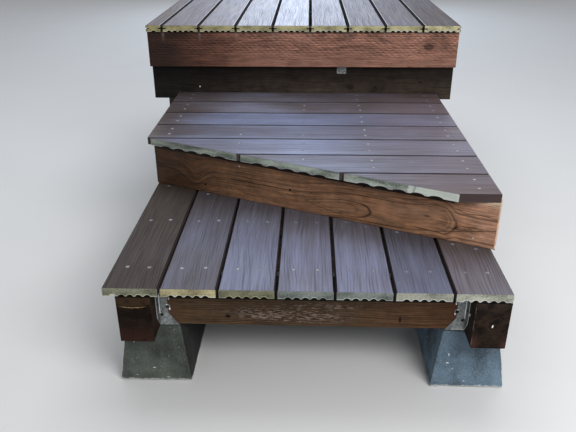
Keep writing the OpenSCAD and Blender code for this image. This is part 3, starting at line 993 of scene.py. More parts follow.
class STAIRS_OT_upper_boards(bpy.types.Operator):
    """Finish the seven boards of the upper step, three of them cut on the slant"""

    bl_idname = "stairs.upper_boards"
    bl_label = "Upper Step Boards"

    white_from: FloatProperty(
        name="White from", description="Where along X the front cut turns nearly white",
        default=0.305, min=-1, max=1, unit="LENGTH",
    )

    def execute(self, context):
        looks = context.scene.stair_boards
        for index, (node, skin) in enumerate(zip(UPPER_BOARDS, UPPER_SKINS)):
            pale_from = self.white_from if index == 0 else None
            cut, seed = tuple(looks.cut_pale), 40 + 2.3 * index
            board = Board(node, X_AXIS, *skin, cut, seed, index < 3, pale_from, upper_painted_light)
            dress(node, board_finish(looks, board))
        return {"FINISHED"}


class STAIRS_OT_deck_boards(bpy.types.Operator):
    """Finish the nine boards of the deck bay"""

    bl_idname = "stairs.deck_boards"
    bl_label = "Deck Boards"

    def execute(self, context):
        looks = context.scene.stair_boards
        for index, node in enumerate(DECK_BOARDS):
            # Painted sheen: the boards are lighter and more slate in the middle of the bay, and darker
            # towards its sides, where they are also rougher
            side = abs(index - 4) / 4
            dull = side * (2.0 if index > 4 else 1.0)
            cut = tuple(Vector(looks.cut_straw).lerp(Vector(looks.cut_bleached), index / 8))
            skin = 0.75 - 0.6 * side, 1.5 - 0.4 * dull, 0.42 + 0.14 * dull
            board = Board(node, Y_AXIS, *skin, cut, 80 + 1.9 * index, gap_shade_width=4.2 * MM, rubbed_and_lit=0.9)
            dress(node, board_finish(looks, board))
        return {"FINISHED"}


# Marks on the riser, each an oval: along and up from its middle, half length and half height
RISER_FAINT = (0.53, -0.019, 0.09, 0.018)
RISER_SPLITS = (0.480, -0.021, 0.040, 0.013)
RISER_PIN_KNOT = (0.372, -0.005, 0.009, 0.0028)
# The same for its warm patches, each with its tint
RISER_PATCHES = (
    (0.25, -0.006, 0.05, 0.012, (0.42, 0.20, 0.10)), (0.33, 0.0, 0.07, 0.016, (0.30, 0.17, 0.12)),
    (0.12, -0.025, 0.06, 0.014, (0.25, 0.135, 0.075)), (-0.02, -0.05, 0.08, 0.012, (0.24, 0.12, 0.065)),
)
# How high up the riser the bow's heart and its egg-shaped neighbour lie, and half their heights
BOW_HEART, BOW_HALF = -0.046, 0.041
EGG_ALONG, EGG_UP, EGG_HALF_LENGTH, EGG_HALF = 0.1, -0.028, 0.104, 0.030
# Where along the riser the bow's outline ends, and where the wood stands clear of the slanted cut
BOW_TIP = (0.455, 0.466)
CLEAR_OF_CUT = (0.44, 0.452)


def cut_overhang(length):
    """How far the slanted cut stands out over the riser's face, at a point along the riser."""
    spot = middle_of("riser") + Vector(RISER_RUN) * length + Vector(RISER_OUT) * TIMBER_T / 2
    low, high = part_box(UPPER_BOARDS[1])
    return spot.y - (high.y - (spot.x - low.x) * SLANT_OUT[0] / SLANT_OUT[1])


def riser_bow(length, rise):
    """Distance out from the heart of the riser's long bow of rings: 1 on its outermost dark line.

    The bow opens to the left and closes at its right end, beyond which the
    rings run level again. Near the left end they dip.
    """
    climb = length.rise(-0.06, 0.16) * 0.027 + length.bell(0.395, 0.05) * 0.012
    dip = length.bell(-0.41, 0.05) * (1 - rise.rise(-0.03, 0.06) * 0.8) * 0.04
    level = (rise - BOW_HEART - climb + dip) / BOW_HALF
    return (level * level + length.rise(0.42, 0.46)) ** 0.5


def riser_rings(finish, length, rise):
    """The riser's rings are thin, and fade inside the bow and to its right."""
    wander = finish.streaks(length * 5.0, rise * 12.0, 3.0) - 0.5
    faint = finish.streaks(length * 6.0, rise * 14.0, 5.0).rise(0.35, 0.6)
    clear = (1 - length.rise(0.08, 0.3) * 0.7) * (0.35 + faint * 0.65)
    clear = clear * (1 - finish.oval(length, rise, *RISER_FAINT).rise(0.1, 0.5) * 0.9)
    return (riser_bow(length, rise) + wander * 0.2) * 4.4, clear


def riser_outlines(length, rise, ripple):
    """The dark outlines of the riser's bow and of the egg-shaped oval to the left of it."""
    bow = riser_bow(length, rise) + ripple * 0.07
    tip = 1 - length.rise(*BOW_TIP)
    side = (length - EGG_ALONG) / EGG_HALF_LENGTH
    taper = (rise - EGG_UP) / ((0.75 + side * 0.4).most(0.2) * EGG_HALF)
    egg = span(side, taper) + ripple * 0.09
    right = rise - (0.0235 + (0.48 - length).most(0.0) * 0.36 + (length - 0.5).bell(0.02, 0.03) * 0.003)
    foot = rise - (-0.0475 + (length - 0.40).most(0.0) * 0.22)
    line = bow.bell(1.0, 0.042) * tip
    for other in (
        bow.bell(1.36, 0.034) * 0.6, bow.bell(1.7, 0.034) * 0.55,
        egg.bell(1.0, 0.05) * length.rise(-0.05, 0.04), egg.bell(0.62, 0.04) * 0.35,
        (right + ripple * 0.003).bell(0.0, 0.0012) * length.rise(0.42, 0.435),
        (foot + ripple * 0.006).bell(0.0, 0.0016) * length.rise(0.29, 0.33) * 0.9,
    ):
        line = line.most(other)
    return line


def riser_wear_and_light(finish, length, rise, colour):
    """The riser is painted darkest at its left end, as shade, and lighter and bluer at its right, as painted
    light.
    """
    cloud = finish.streaks(length * 5.0, rise * 9.0, 4.0, 3.0) - 0.5
    # Painted shade to the left, and painted light, lighter and bluer, to the right
    colour = colour.tinted((0.19, 0.165, 0.12), 1 - (length + cloud * 0.25).rise(-0.54, -0.1))
    colour = colour * (0.80 + (length + cloud * 0.3).rise(0.1, 0.62) * 0.42)
    colour = colour.tinted((1.30, 1.36, 1.60), length.rise(0.34, 0.56) * 0.9)
    # Warm and cool patches, drawn out along the grain
    warm = finish.streaks(length * 14.0, rise * 50.0, 8.0, 4.0, 0.65)
    cool = finish.streaks(length * 16.0, rise * 70.0, 2.0, 4.0, 0.65)
    colour = colour.tinted((1.36, 1.26, 1.10), warm.rise(0.46, 0.70))
    colour = colour.tinted((0.62, 0.66, 0.76), cool.rise(0.46, 0.72))
    for *oval, tint in RISER_PATCHES:
        patch = finish.oval(length, rise + cloud * 0.02, *oval)
        colour = colour.toward(tint, patch * warm.rise(0.3, 0.6) * 0.8)
    ripple = finish.streaks(length * 30.0, rise * 60.0, 1.0) - 0.5
    worn = finish.streaks(length * 8.0, rise * 20.0, 6.0).rise(0.3, 0.5)
    colour = colour * (1 - riser_outlines(length, rise, ripple) * (0.46 + worn * 0.36))
    # Short dark splits beside the end of the bow, and a small pin knot in its middle
    beside = finish.oval(length, rise, *RISER_SPLITS).rise(0.0, 0.5)
    dark = finish.streaks(length * 26.0, rise * 240.0, 6.0).rise(0.5, 0.58) * beside
    pin = finish.oval(length, rise, *RISER_PIN_KNOT)
    colour = colour * (1 - (dark * 0.75).most(pin) * 0.85)
    # Painted shadow under the slanted cut, and cream wood where the right corner stands clear of it
    near, far = cut_overhang(-0.5), cut_overhang(0.4)
    hidden = ((length + 0.5) * ((far - near) / 0.9) + near).most(0.0) * 0.41
    clear = length.rise(*CLEAR_OF_CUT)
    top = (rise + hidden + ripple * 0.001).rise(0.0632, 0.0652)
    colour = colour * (1 - top * (1 - clear) * 0.92)
    bare = finish.streaks(length * 22.0, rise * 200.0, 2.0).rise(0.4, 0.6)
    cream = length.rise(0.47, 0.55) * (rise.rise(0.05, 0.066) * bare).most(rise.rise(0.0695, 0.0699) * clear)
    end = finish.facing.dot(RISER_RUN).rise(0.7, 0.95)
    cream = cream.most(length.rise(0.5640, 0.5650) * 0.8) * (1 - end * (1 - rise.rise(0.0, 0.05)) * 0.75)
    return colour.toward((0.56, 0.45, 0.33), cream * 0.85)


# Marks on the front joist, as ovals too. The worn corner is at both of its ends
JOIST_WORN = ((-0.06, -0.036, 0.17, 0.026), (0.03, -0.005, 0.14, 0.018))
JOIST_KNOT = (-0.2237, -0.0396, 0.0056, 0.0044)
JOIST_SPLIT = (0.2378, -0.0415, 0.0028, 0.0080)
JOIST_CORNER = (0.402, -0.02, 0.026, 0.03)


def joist_wear_and_shade(finish, length, rise, colour):
    """The front joist is rubbed through to pale flecks low in its middle."""
    cloud = finish.streaks(length * 9.0, rise * 40.0, 1.0, 3.0)
    colour = colour * (1.25 - length.rise(-0.36, -0.16) * 0.25)
    ruddy = length.rise(0.05, 0.4)
    colour = colour.tinted((1.45, 0.92, 0.75), ruddy * 0.5)
    area = finish.oval(length, rise + length * 0.05, *JOIST_WORN[0])
    area = area.most(finish.oval(length, rise, *JOIST_WORN[1]) * 0.7)
    # Soft orange and lavender smears, then fine bare streaks over them
    smear = finish.streaks(length * 20.0, rise * 150.0, 9.0, 3.0, 0.7)
    tint = finish.blend(cloud.rise(0.42, 0.6), (0.125, 0.082, 0.052), (0.110, 0.096, 0.092))
    colour = colour.toward(tint, smear.rise(0.42, 0.62) * area.rise(0.05, 0.7) * 0.4) * (1 - area * 0.5)
    flecks = finish.streaks(length * 50.0, rise * 330.0, 3.0, 3.0, 0.7)
    rubbed_and_lit = (flecks + area * 0.09 + (cloud - 0.5) * 0.3).rise(0.58, 0.66) * area.rise(0.2, 0.7)
    colour = colour.toward(bpy.context.scene.stair_timber.joist_worn, rubbed_and_lit * 0.8)
    dents = finish.streaks(length * 60.0, rise * 260.0, 5.0, 3.0, 0.7).rise(0.55, 0.66)
    colour = colour * (1 - dents * (0.25 + area * 0.4))
    # A small round knot, and a short upright split
    knot = (finish.oval(length, rise, *JOIST_KNOT) * 2.4).least(1.0)
    split = (finish.oval(length, rise, *JOIST_SPLIT) * 1.8).least(1.0)
    colour = colour * (1 - knot.most(split) * 0.95)
    # Bare ruddy wood where the joist's lower corners are rubbed
    corner = finish.oval(abs(length), rise, *JOIST_CORNER)
    colour = colour.toward((0.14, 0.052, 0.028), corner * 0.7)
    # Painted shadow of the boards' ends along its top
    return colour * (1 - (rise + (cloud - 0.5) * 0.002).rise(0.0132, 0.0152) * 0.94)


def hanger_hole_shadow(finish, length, rise, colour):
    """Dark depth behind the open hole low down beside each hanger's fold."""
    hole = 0.0
    for face, out in ((BEAM_FACE_LEFT, 1), (BEAM_FACE_RIGHT, -1)):
        away = span(finish.x - (face + out * HOLE_OUT), finish.z - (JOIST_FOOT + HOLE_UP))
        hole = 1 - away.rise(3.0 * MM, 4.0 * MM) + hole
    return colour * (1 - hole * 0.97)


# Middle of the split in the left beam's end, and head of the bent nail in the right one's: X and Z
BEAM_SPLIT = (-0.4135, 0.2765)
BENT_NAIL = (0.5014, 0.2389)


def beam_front(finish):
    """1 on the front end of a beam."""
    return 1 - finish.y.rise(STEPS_FRONT, STEPS_FRONT + 0.5 * MM)


def left_beam_split(finish, length, rise, colour):
    """The pale curved split in the end of the left beam, with ruddy wood above it."""
    across, level, front = finish.x - BEAM_SPLIT[0], finish.z, beam_front(finish)
    ragged = finish.streaks(across * 130.0, level * 20.0, 0.0, 3.0, 0.7) - 0.5
    line = level - (BEAM_SPLIT[1] + across * across * 3.4 + ragged * 0.0035)
    thin = line.bell(0.0, 0.0010) * (1 - abs(across).rise(0.014, 0.042))
    thin = thin * (0.3 + finish.streaks(across * 120.0, 0.0, 0.0).rise(0.35, 0.6) * 0.7)
    patches = finish.noise(finish.place + (2.0, 0.0, 0.0), 40.0, 4.0, 0.7)
    colour = colour * (1.15 - patches.rise(0.4, 0.68) * 0.6) * (1 - level.bell(0.256, 0.018) * front * 0.4)
    ruddy = (1 - level.rise(0.180, 0.230)) * front * patches.rise(0.3, 0.5)
    above = line.rise(0.0, 0.008) * front * (0.9 - patches.rise(0.4, 0.66) * 0.5)
    colour = colour.toward((0.050, 0.019, 0.014), ruddy * 0.55).toward((0.046, 0.026, 0.015), above)
    # Painted shadow of the lower boards along the top of the end
    colour = colour * (1 - level.rise(*BOARD_SHADE) * front * 0.9)
    return colour.toward(bpy.context.scene.stair_timber.split_pale, thin * front)


def right_beam_wear_and_shade(finish, length, rise, colour):
    """The right beam's end is brown along its top, sooty below, and ruddy at its lower corners."""
    x, z, front = finish.x, finish.z, beam_front(finish)
    patches = finish.noise(finish.place, 34.0, 4.0, 0.7)
    rubbed_and_lit = finish.noise(finish.place + (1.0, 0.0, 0.0), 60.0, 4.0, 0.75)
    top = (rise + (patches - 0.5) * 0.08).rise(0.015, 0.065)
    colour = colour.toward((0.033, 0.021, 0.0145), top * 0.7) * (1 - patches.rise(0.42, 0.62) * 0.72)
    corner = abs(x - middle_of("beam_right").x).rise(0.018, 0.040) * (1 - rise.rise(-0.06, -0.015))
    arris = (1 - (x - BEAM_FACE_RIGHT).rise(0.0010, 0.0024)) * rubbed_and_lit.rise(0.42, 0.56) * front
    for tint, share in (
        ((0.075, 0.038, 0.030), rubbed_and_lit.rise(0.6, 0.72) * 0.4),
        ((0.072, 0.028, 0.024), corner * front * rubbed_and_lit.rise(0.35, 0.6) * 0.7),
        ((0.16, 0.115, 0.09), arris * 0.6),
    ):
        colour = colour.toward(tint, share)
    # A bent nail is hammered flat against the end
    up = z - BENT_NAIL[1]
    bent = span((x - BENT_NAIL[0] - up * 0.12) * 2.6, up)
    colour = colour * (1 - (1 - bent.rise(0.006, 0.012)) * front * 0.6)
    # Painted shadow of the lower boards along the top of the end
    colour = colour * (1 - z.rise(*BOARD_SHADE) * front * 0.9)
    head = (1 - (bent + rubbed_and_lit * 0.003).rise(0.0052, 0.0076)) * front
    return colour.toward(bpy.context.scene.stair_steel.shiny, head * 0.9)


def recess_shade(finish, length, rise, colour):
    """The beam behind the steps is painted dark below the rim and at its left end, as shade, and browner
    lower down.
    """
    patches = finish.streaks(length * 6.0, rise * 20.0, 4.0, 4.0, 0.65) - 0.5
    low = 1 - (rise + patches * 0.05).rise(-0.03, 0.04)
    left = 1 - (length + patches * 0.5).rise(-0.62, 0.0)
    colour = colour.tinted((0.24, 0.27, 0.32), left)
    return colour * (0.5 + low * 0.75)


def rim_stains_and_shade(finish, length, rise, colour):
    """The rim is painted darker to the left, as shade, and in a band under the deck boards' ends, as their
    shadow; it is dusty along its foot, and washed pale below each board gap.
    """
    cloud = finish.streaks(length * 6.0, rise * 12.0, 1.0, 3.0) - 0.5
    # Painted shade to the left
    colour = colour * (0.10 + (length + cloud * 0.3).rise(-0.57, -0.02) * 0.98)
    colour = colour * finish.blend(length.rise(-0.5, -0.1), (1.0, 0.86, 0.78), (1.04, 1.04, 1.04))
    # Painted shadow under the deck boards' ends
    colour = colour * (1 - (rise + cloud * 0.002).rise(0.0635, 0.0655) * 0.92)
    dusty = (rise + (cloud * 0.02)).bell(-0.05, 0.02) * length.rise(-0.35, -0.1)
    dusty = dusty * finish.streaks(length * 30.0, rise * 280.0, 2.0, 3.0, 0.7).rise(0.5, 0.66)
    colour = colour.toward((0.33, 0.24, 0.20), dusty * 0.35)
    wash = 0.0
    for gap, _ in deck_gaps():
        wash = finish.x.bell(gap, 5.0 * MM) + wash
    fade = rise.rise(0.022, 0.07)
    return colour.toward((0.42, 0.35, 0.33), wash * fade * 0.28)


def flush_nails(finish, length, rise, colour):
    """Three dark nail heads, driven flush, at each end of the deck's back rim."""
    low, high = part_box("deck_rim_back")
    behind = finish.y.rise(high.y - 0.5 * MM, high.y)
    across = abs(abs(length) - ((high.x - low.x) / 2 - TIMBER_T / 2))
    spots = 0.0
    for level in (-35 * MM, 0.0, 35 * MM):
        spots = 1 - span(rise - level, across).rise(3.4 * MM, 4.2 * MM) + spots
    return colour * (1 - spots * behind * 0.85)


def set_timber(node, woods, marks=(), **how):
    """Stains a timber: woods are the colours between its rings and of them."""
    dress(node, timber_finish(node, Grain(*woods, **how), marks))


class STAIRS_OT_framing(bpy.types.Operator):
    """Finish the riser, the joists, the ribs and the frame of the deck"""

    bl_idname = "stairs.framing"
    bl_label = "Framing Timber"

    def execute(self, context):
        looks = context.scene.stair_timber
        warm, rim = (looks.early, looks.late), (looks.rim_early, looks.rim_late)
        dull = (looks.joist_early, looks.joist_late)
        long_oval = (0.12, 0.028, 0.017)
        set_timber(
            "riser", warm, (riser_wear_and_light,), run=RISER_RUN, out=RISER_OUT, contrast=0.75, ring_start=0.72,
            mottle=1.0, ends=1.5, shine=0.2, seed=2.0, drawn=riser_rings)
        set_timber(
            "front_joist", dull, (joist_wear_and_shade, hanger_hole_shadow), heart=(-0.16, -0.14), pitch=0.0045,
            contrast=0.55, mottle=0.9, shine=0.12, seed=5.0)
        set_timber(
            "inner_joists", dull, (hanger_hole_shadow,), heart=(0.0, -0.12), repeat=(0.0, 0.2795),
            contrast=0.5, seed=9.0)
        sides = ((warm, "step_side", 0.0), (rim, "deck_side", 0.9))
        for index, (woods, part, incised) in enumerate(side for side in sides for _ in range(2)):
            end, out = (("left", LEFTWARD), ("right", X_AXIS))[index % 2]
            set_timber(
                f"{part}_{end}", woods, run=Y_AXIS, out=out, heart=(-0.12 + 0.02 * index, -0.12),
                islands=((0.12, -0.02, *long_oval),), knots=((-0.21, 0.02, 0.009),), contrast=0.5,
                incised=incised, seed=11.0 + index)
        set_timber(
            "step_back", warm, out=Y_AXIS, heart=(-0.14, -0.12), contrast=0.5,
            islands=((-0.2, 0.02, *long_oval),), seed=17.0)
        set_timber(
            "step_joists", dull, run=Y_AXIS, out=LEFTWARD, heart=(0.0, -0.12),
            repeat=(0.0, STEP_JOIST_PITCH), seed=19.0)
        set_timber(
            "deck_rim_front", rim, (rim_stains_and_shade,), heart=(0.06, -0.2), pitch=0.0065, contrast=0.3,
            knots=((0.4995, 0.011, 0.013),), incised=1.0, ends=0.8, shine=0.2, seed=23.0)
        set_timber(
            "deck_rim_back", rim, (flush_nails,), out=Y_AXIS, heart=(-0.12, -0.15), contrast=0.35,
            knots=((-0.2, 0.02, 0.013), (0.33, -0.03, 0.01)), incised=0.9, seed=29.0)
        for index, node in enumerate(("deck_joist_front", "deck_joist_back")):
            set_timber(node, dull, heart=(-0.1, -0.12), islands=((0.2, 0.01, *long_oval),), seed=31.0 + index)
        return {"FINISHED"}


class STAIRS_OT_dark_framing(bpy.types.Operator):
    """Finish the heavy beams and the posts"""

    bl_idname = "stairs.dark_framing"
    bl_label = "Beams and Posts"

    def execute(self, context):
        looks = context.scene.stair_timber
        dark, old = (looks.dark_early, looks.dark_late), (looks.grey_early, looks.grey_late)
        set_timber(
            "beam_left", dark, (left_beam_split,), run=Y_AXIS, out=LEFTWARD, heart=(0.16, 0.0),
            contrast=0.4, mottle=1.6, ends=0.75, shine=0.06, seed=41.0)
        set_timber(
            "beam_right", dark, (right_beam_wear_and_shade,), run=Y_AXIS, out=X_AXIS, heart=(0.1, -0.08),
            contrast=0.4, mottle=2.4, knots=((0.1, 0.02, 0.012),), ends=1.1, rough=0.55, shine=0.08,
            seed=43.0)
        set_timber(
            "deck_beam_front", old, (recess_shade,), heart=(-0.12, -0.14), contrast=0.3, mottle=1.4,
            knots=((0.2, -0.02, 0.009),), shine=0.1, seed=47.0)
        set_timber("deck_beam_back", old, out=Y_AXIS, heart=(-0.1, -0.14), contrast=0.4, seed=53.0)
        set_timber(
            "deck_posts", dark, run=Z_AXIS, heart=(0.02, 0.03), repeat=(1.021, 0.977), contrast=0.4,
            mottle=1.2, seed=59.0)
        return {"FINISHED"}


def cast_pier(shape, low, high, looks, seed):
    """A tapered block with worn edges and an uneven cast face, kept inside its box."""
    steps = 18
    middle, half = (low + high) / 2, (high - low) / 2
    grid = {}

    def spot(*key):
        """Point of a cube's face grid, pushed to the tapered, worn shape."""
        if key in grid:
            return grid[key]
        unit = Vector(2 * part / steps - 1 for part in key)
        shrink = looks.lean * (unit.z + 1) / 2
        sides = Vector((half.x - shrink, half.y - shrink, half.z))
        point = Vector(part * side for part, side in zip(unit, sides))
        # Round the edges by pulling points that are near two or more faces
        worn = looks.edge_radius * (1 + 0.6 * noise.noise(point * 30 + Vector((seed, 0, 0))))
        near = [max(0.0, 1 - (side - abs(part)) / worn) for part, side in zip(point, sides)]
        crowd = sum(near) - max(near)
        inward = Vector(-math.copysign(share, part) for share, part in zip(near, point))
        point += inward * worn * 0.3 * min(crowd, 1.5)
        rough = abs(noise.fractal(point * 55 + Vector((seed, seed, 0)), 0.8, 2.0, 4))
        push = Vector((inward.x, inward.y, -near[2] if key[2] == steps else 0.0))
        point += push * rough * 1.6 * MM
        grid[key] = shape.verts.new(point + middle)
        return grid[key]

    def face(*corners):
        shape.faces.new([spot(*corner) for corner in corners])

    for a in range(steps):
        for b in range(steps):
            for end in (0, steps):
                face((a, b, end), (a + 1, b, end), (a + 1, b + 1, end), (a, b + 1, end))
                face((a, end, b), (a + 1, end, b), (a + 1, end, b + 1), (a, end, b + 1))
                face((end, a, b), (end, a + 1, b), (end, a + 1, b + 1), (end, a, b + 1))


# White chips in the two front piers: X, Z, half width and half height
LEFT_CHIPS = ((-0.390, 0.041, 0.0050, 0.0018), (-0.352, 0.012, 0.007, 0.0011), (-0.44, 0.018, 0.003, 0.0012))
RIGHT_CHIPS = (
    (0.4190, 0.100, 0.0018, 0.0058), (0.4170, 0.075, 0.0058, 0.0017), (0.432, 0.058, 0.0028, 0.0013),
    (0.465, 0.020, 0.004, 0.0012),
)


class STAIRS_OT_piers(bpy.types.Operator):
    """Cast the eight concrete piers with worn edges and rough faces"""

    bl_idname = "stairs.piers"
    bl_label = "Concrete Piers"

    def execute(self, context):
        looks = context.scene.stair_piers
        left = concrete_finish("pier_left_finish", looks.shaded_pier_tint, looks, 0.78, LEFT_CHIPS)
        right = concrete_finish("pier_right_finish", looks.lit_pier_tint, looks, 0.0, RIGHT_CHIPS)
        nodes = ("pier_front_left", "pier_front_right", "pier_back_left", "pier_back_right")
        for seed, node in enumerate(nodes):
            shape = bmesh.new()
            cast_pier(shape, *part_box(node), looks, 3.7 * seed)
            piece = add_piece(f"{node}_cast", shape, left if "left" in node else right)
            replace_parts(piece, node)
        low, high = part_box("deck_piers")
        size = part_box("pier_front_left")[1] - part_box("pier_front_left")[0]
        shape = bmesh.new()
        for seed, (x, y) in enumerate(((0, 0), (1, 0), (0, 1), (1, 1))):
            corner = Vector((high.x - size.x if x else low.x, high.y - size.y if y else low.y, low.z))
            cast_pier(shape, corner, corner + size, looks, 20 + 2.9 * seed)
        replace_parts(add_piece("deck_piers_cast", shape, left), "deck_piers")
        return {"FINISHED"}


class STAIRS_OT_steel(bpy.types.Operator):
    """Finish the joist hangers and the angle clip"""

    bl_idname = "stairs.steel"
    bl_label = "Hangers and Clip"

    def execute(self, context):
        looks = context.scene.stair_steel
        zinc = zinc_finish("hanger_finish", looks, painted_shading=hanger_painted_light)
        for node in ("hangers_left", "hangers_right"):
            dress(node, zinc)
        dress("deck_clip", zinc_finish("deck_clip_finish", looks, 0.8))
        return {"FINISHED"}


def joist_rows():
    """Where the middles of the lower step's joists lie, from front to back."""
    first = middle_of("front_joist").y
    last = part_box("inner_joists")[1].y - TIMBER_T / 2
    return [first + (last - first) * index / 4 for index in range(5)]


def riser_face(x):
    """How far back the riser's face is at x."""
    low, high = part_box("riser")
    corner = high.x + TIMBER_T * RISER_OUT[0]
    return low.y + (corner - x) * math.tan(-RISER_SLANT)


class STAIRS_OT_board_screws(bpy.types.Operator):
    """Drive the screws of both steps, each with its lip of raised skin"""

    bl_idname = "stairs.board_screws"
    bl_label = "Board Screws"

    pair: FloatProperty(
        name="Pair spacing", description="Distance between the two screws of a pair",
        default=0.061, min=0.02, max=0.12, unit="LENGTH",
    )

    def execute(self, context):
        steel, boards = context.scene.stair_steel, context.scene.stair_boards
        rng = random.Random(11)
        clearance = 12 * MM
        lower = []
        for node in LOWER_BOARDS:
            x = middle_of(node).x
            for side in (-0.5, 0.5):
                spot_x = x + side * self.pair
                for y in joist_rows()[:3]:
                    y += 10 * MM
                    if y < riser_face(spot_x) - clearance:
                        lower.append((spot_x, y))
        # More of them beside the riser, one on some boards and a pair on others
        for board, side in ((1, -0.5), (2, -0.5), (5, -0.5), (5, 0.5), (6, -0.5), (7, -0.5), (7, 0.5)):
            x = middle_of(f"lower_tread_{board}").x + side * self.pair
            lower.append((x, riser_face(x) - clearance))
        upper = []
        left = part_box(UPPER_BOARDS[6])[0].x
        columns = [middle_of("step_side_left").x, middle_of("step_side_right").x]
        columns += [middle_of("step_joists").x + step * STEP_JOIST_PITCH for step in (-1, 0, 1)]
        slant_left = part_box(UPPER_BOARDS[2])[1].y + 5 * MM
        for node in UPPER_BOARDS:
            y = middle_of(node).y
            for x in columns:
                slant = slant_left - (x - left) * SLANT_OUT[0] / SLANT_OUT[1]
                for side in (-0.5, 0.5):
                    spot_y = y + side * self.pair
                    if spot_y > slant + clearance:
                        upper.append((x, spot_y))
        clear = (columns[1], columns[4])
        for name, spots, top, bright in (
            ("lower_screw", lower, LOWER_TOP, ()), ("upper_screw", upper, UPPER_TOP, clear)
        ):
            lips = screws(name, spots, top, steel, rng, bright)
            add_piece(f"{name}_lips", lips, lip_finish(boards))
        return {"FINISHED"}


class STAIRS_OT_hanger_nails(bpy.types.Operator):
    """Nail the joist hangers, and round the folds between their plates"""

    bl_idname = "stairs.hanger_nails"
    bl_label = "Hanger Nails and Folds"

    neck: FloatProperty(
        name="Neck", description="How far out of the beam the side plates' nails sit",
        default=0.024, min=0.01, max=0.04, unit="LENGTH",
    )
    ear_levels: FloatVectorProperty(
        name="Ear levels", description="Heights of the two nails, as shares of the hanger's height",
        default=(0.48, 0.75), size=2, min=0, max=1,
    )

    def execute(self, context):
        looks = context.scene.stair_steel
        rng = random.Random(5)
        # The folds, rings and torn lips are zinc made 2.8, 1.3 and 6 times lighter, as painted highlight
        finishes = (
            ("nails", screw_finish("hanger_nail_finish", looks.nail, 0.18)),
            ("folds", zinc_finish("hanger_fold_finish", looks, 2.8)),
            ("rings", zinc_finish("hanger_ring_finish", looks, 1.3)),
            ("torn_lips", zinc_finish("hanger_torn_finish", looks, 6.0, polish=0.25)),
        )
        half, plate = TIMBER_T / 2, 1.5 * MM
        flange_nail, flange_levels = 17.1 * MM, (0.6, 0.85)
        ring_out, ring_up, fold_from = 16 * MM, 19.5 * MM, 36 * MM
        foot, height = JOIST_FOOT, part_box("hangers_left")[1].z - JOIST_FOOT
        for name, face, out in (("left", BEAM_FACE_LEFT, 1), ("right", BEAM_FACE_RIGHT, -1)):
            nails, folds, rings, torn = shapes = [bmesh.new() for _ in finishes]
            for y in joist_rows():
                for side in (-1, 1):
                    skin = y + side * (half + plate)
                    for level in flange_levels:
                        spot = (face + out * plate, y + side * (half + flange_nail), foot + level * height)
                        lean = rng.gauss(0, 0.06), rng.gauss(0, 0.06)
                        turned(nails, NAIL_HEAD, facing_out(Vector(spot), (out, 0, 0), 0, *lean), 16)
                    for level in self.ear_levels:
                        ear = Vector((face + out * self.neck, skin, foot + level * height))
                        turn = facing_out(ear, (out * 0.25, side, 0), 0, rng.gauss(0, 0.08), 0)
                        turned(nails, BULGING_NAIL, turn, 18)
                        # A dull burr round the nail, with a bright torn lip above it and one below
                        turn = facing_out(ear, (out * 0.1, side, 0), rng.uniform(0, 2))
                        turned(rings, NAIL_BURR, turn, 30, 3)
                        for along, x, z, width, radius, angle, tail in (
                            ((out, 0, 0), 4.8, -5.6, 4.6, 2.6, 2.1, 2.0),
                            (Z_AXIS, -1.5, 5.4, 5.0, 1.6, 1.7, 0.8),
                        ):
                            root = ear + Vector((out * x, 0, z)) * MM
                            sizes = width * MM, radius * MM, angle, tail * MM
                            curled_tab(torn, root, along, (0, side, 0), *sizes)
                    ring = Vector((face + out * ring_out, skin, foot + ring_up))
                    turned(rings, PRESSED_RING, facing_out(ring, (0, side, 0)), 32, closed=True)
                    turned(rings, DIMPLE, facing_out(ring, (0, side, 0)), 16)
                    levels = foot + fold_from, foot + height - 0.5 * MM
                    bend_fold(folds, face + out * plate, skin, out, side, *levels, looks.bend_radius)
            for shape, (part, material) in zip(shapes, finishes):
                add_piece(f"hanger_{part}_{name}", shape, material)
        return {"FINISHED"}


# Nails that show in the deck's front beam and in the riser: X and Z
BEAM_NAILS = ((0.3005, 0.523), (0.481, 0.545))
RISER_NAILS = ((-0.3099, 0.3635), (-0.0246, 0.4007), (0.195, 0.4582))
RISER_BRIGHT_NAILS = ((-0.1885, 0.45), (0.4937, 0.3596), (0.5479, 0.338))


class STAIRS_OT_frame_nails(bpy.types.Operator):
    """Set the nails that show in the beams, the riser and the deck's frame"""

    bl_idname = "stairs.frame_nails"
    bl_label = "Frame Nails"

    def execute(self, context):
        looks = context.scene.stair_steel
        bright, old = bmesh.new(), bmesh.new()

        def drive(shape, profile, spot, out, size=1.0, tilt=0.0, tip=0.0):
            turn = facing_out(Vector(spot), out, 0, tilt, tip) @ Matrix.Scale(size, 4)
            turned(shape, profile, turn, 16)

        beam_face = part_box("deck_beam_front")[0].y
        drive(bright, NAIL_HEAD, (-0.421, beam_face, 0.522), FRONTWARD, tilt=0.3, tip=0.2)
        drive(bright, NAIL_HEAD, (BEAM_FACE_RIGHT, -1.1688, 0.2456), (-1, -0.5, 0), 1.25, 0.1)
        for x, z in BEAM_NAILS:
            drive(old, SUNK_NAIL, (x, beam_face, z), FRONTWARD)
        for x, z in RISER_NAILS:
            drive(old, SUNK_NAIL, (x, riser_face(x), z), RISER_OUT)
        for x, z in RISER_BRIGHT_NAILS:
            drive(bright, SUNK_NAIL, (x, riser_face(x), z), RISER_OUT, 0.75)
        # Behind, the beam is nailed to the posts
        low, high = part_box("deck_beam_back")
        for x in (low.x + 0.10, high.x - 0.10):
            for dx, share in ((-0.02, 0.3), (0.02, 0.7)):
                drive(bright, NAIL_HEAD, (x + dx, high.y, low.z + share * (high.z - low.z)), Y_AXIS)
        polished = screw_finish("frame_nail_finish", looks.shiny, 0.35, dullest=0.75)
        add_piece("frame_nails_bright", bright, polished)
        add_piece("frame_nails_old", old, screw_finish("old_nail_finish", looks.rust, 0.6))
        return {"FINISHED"}


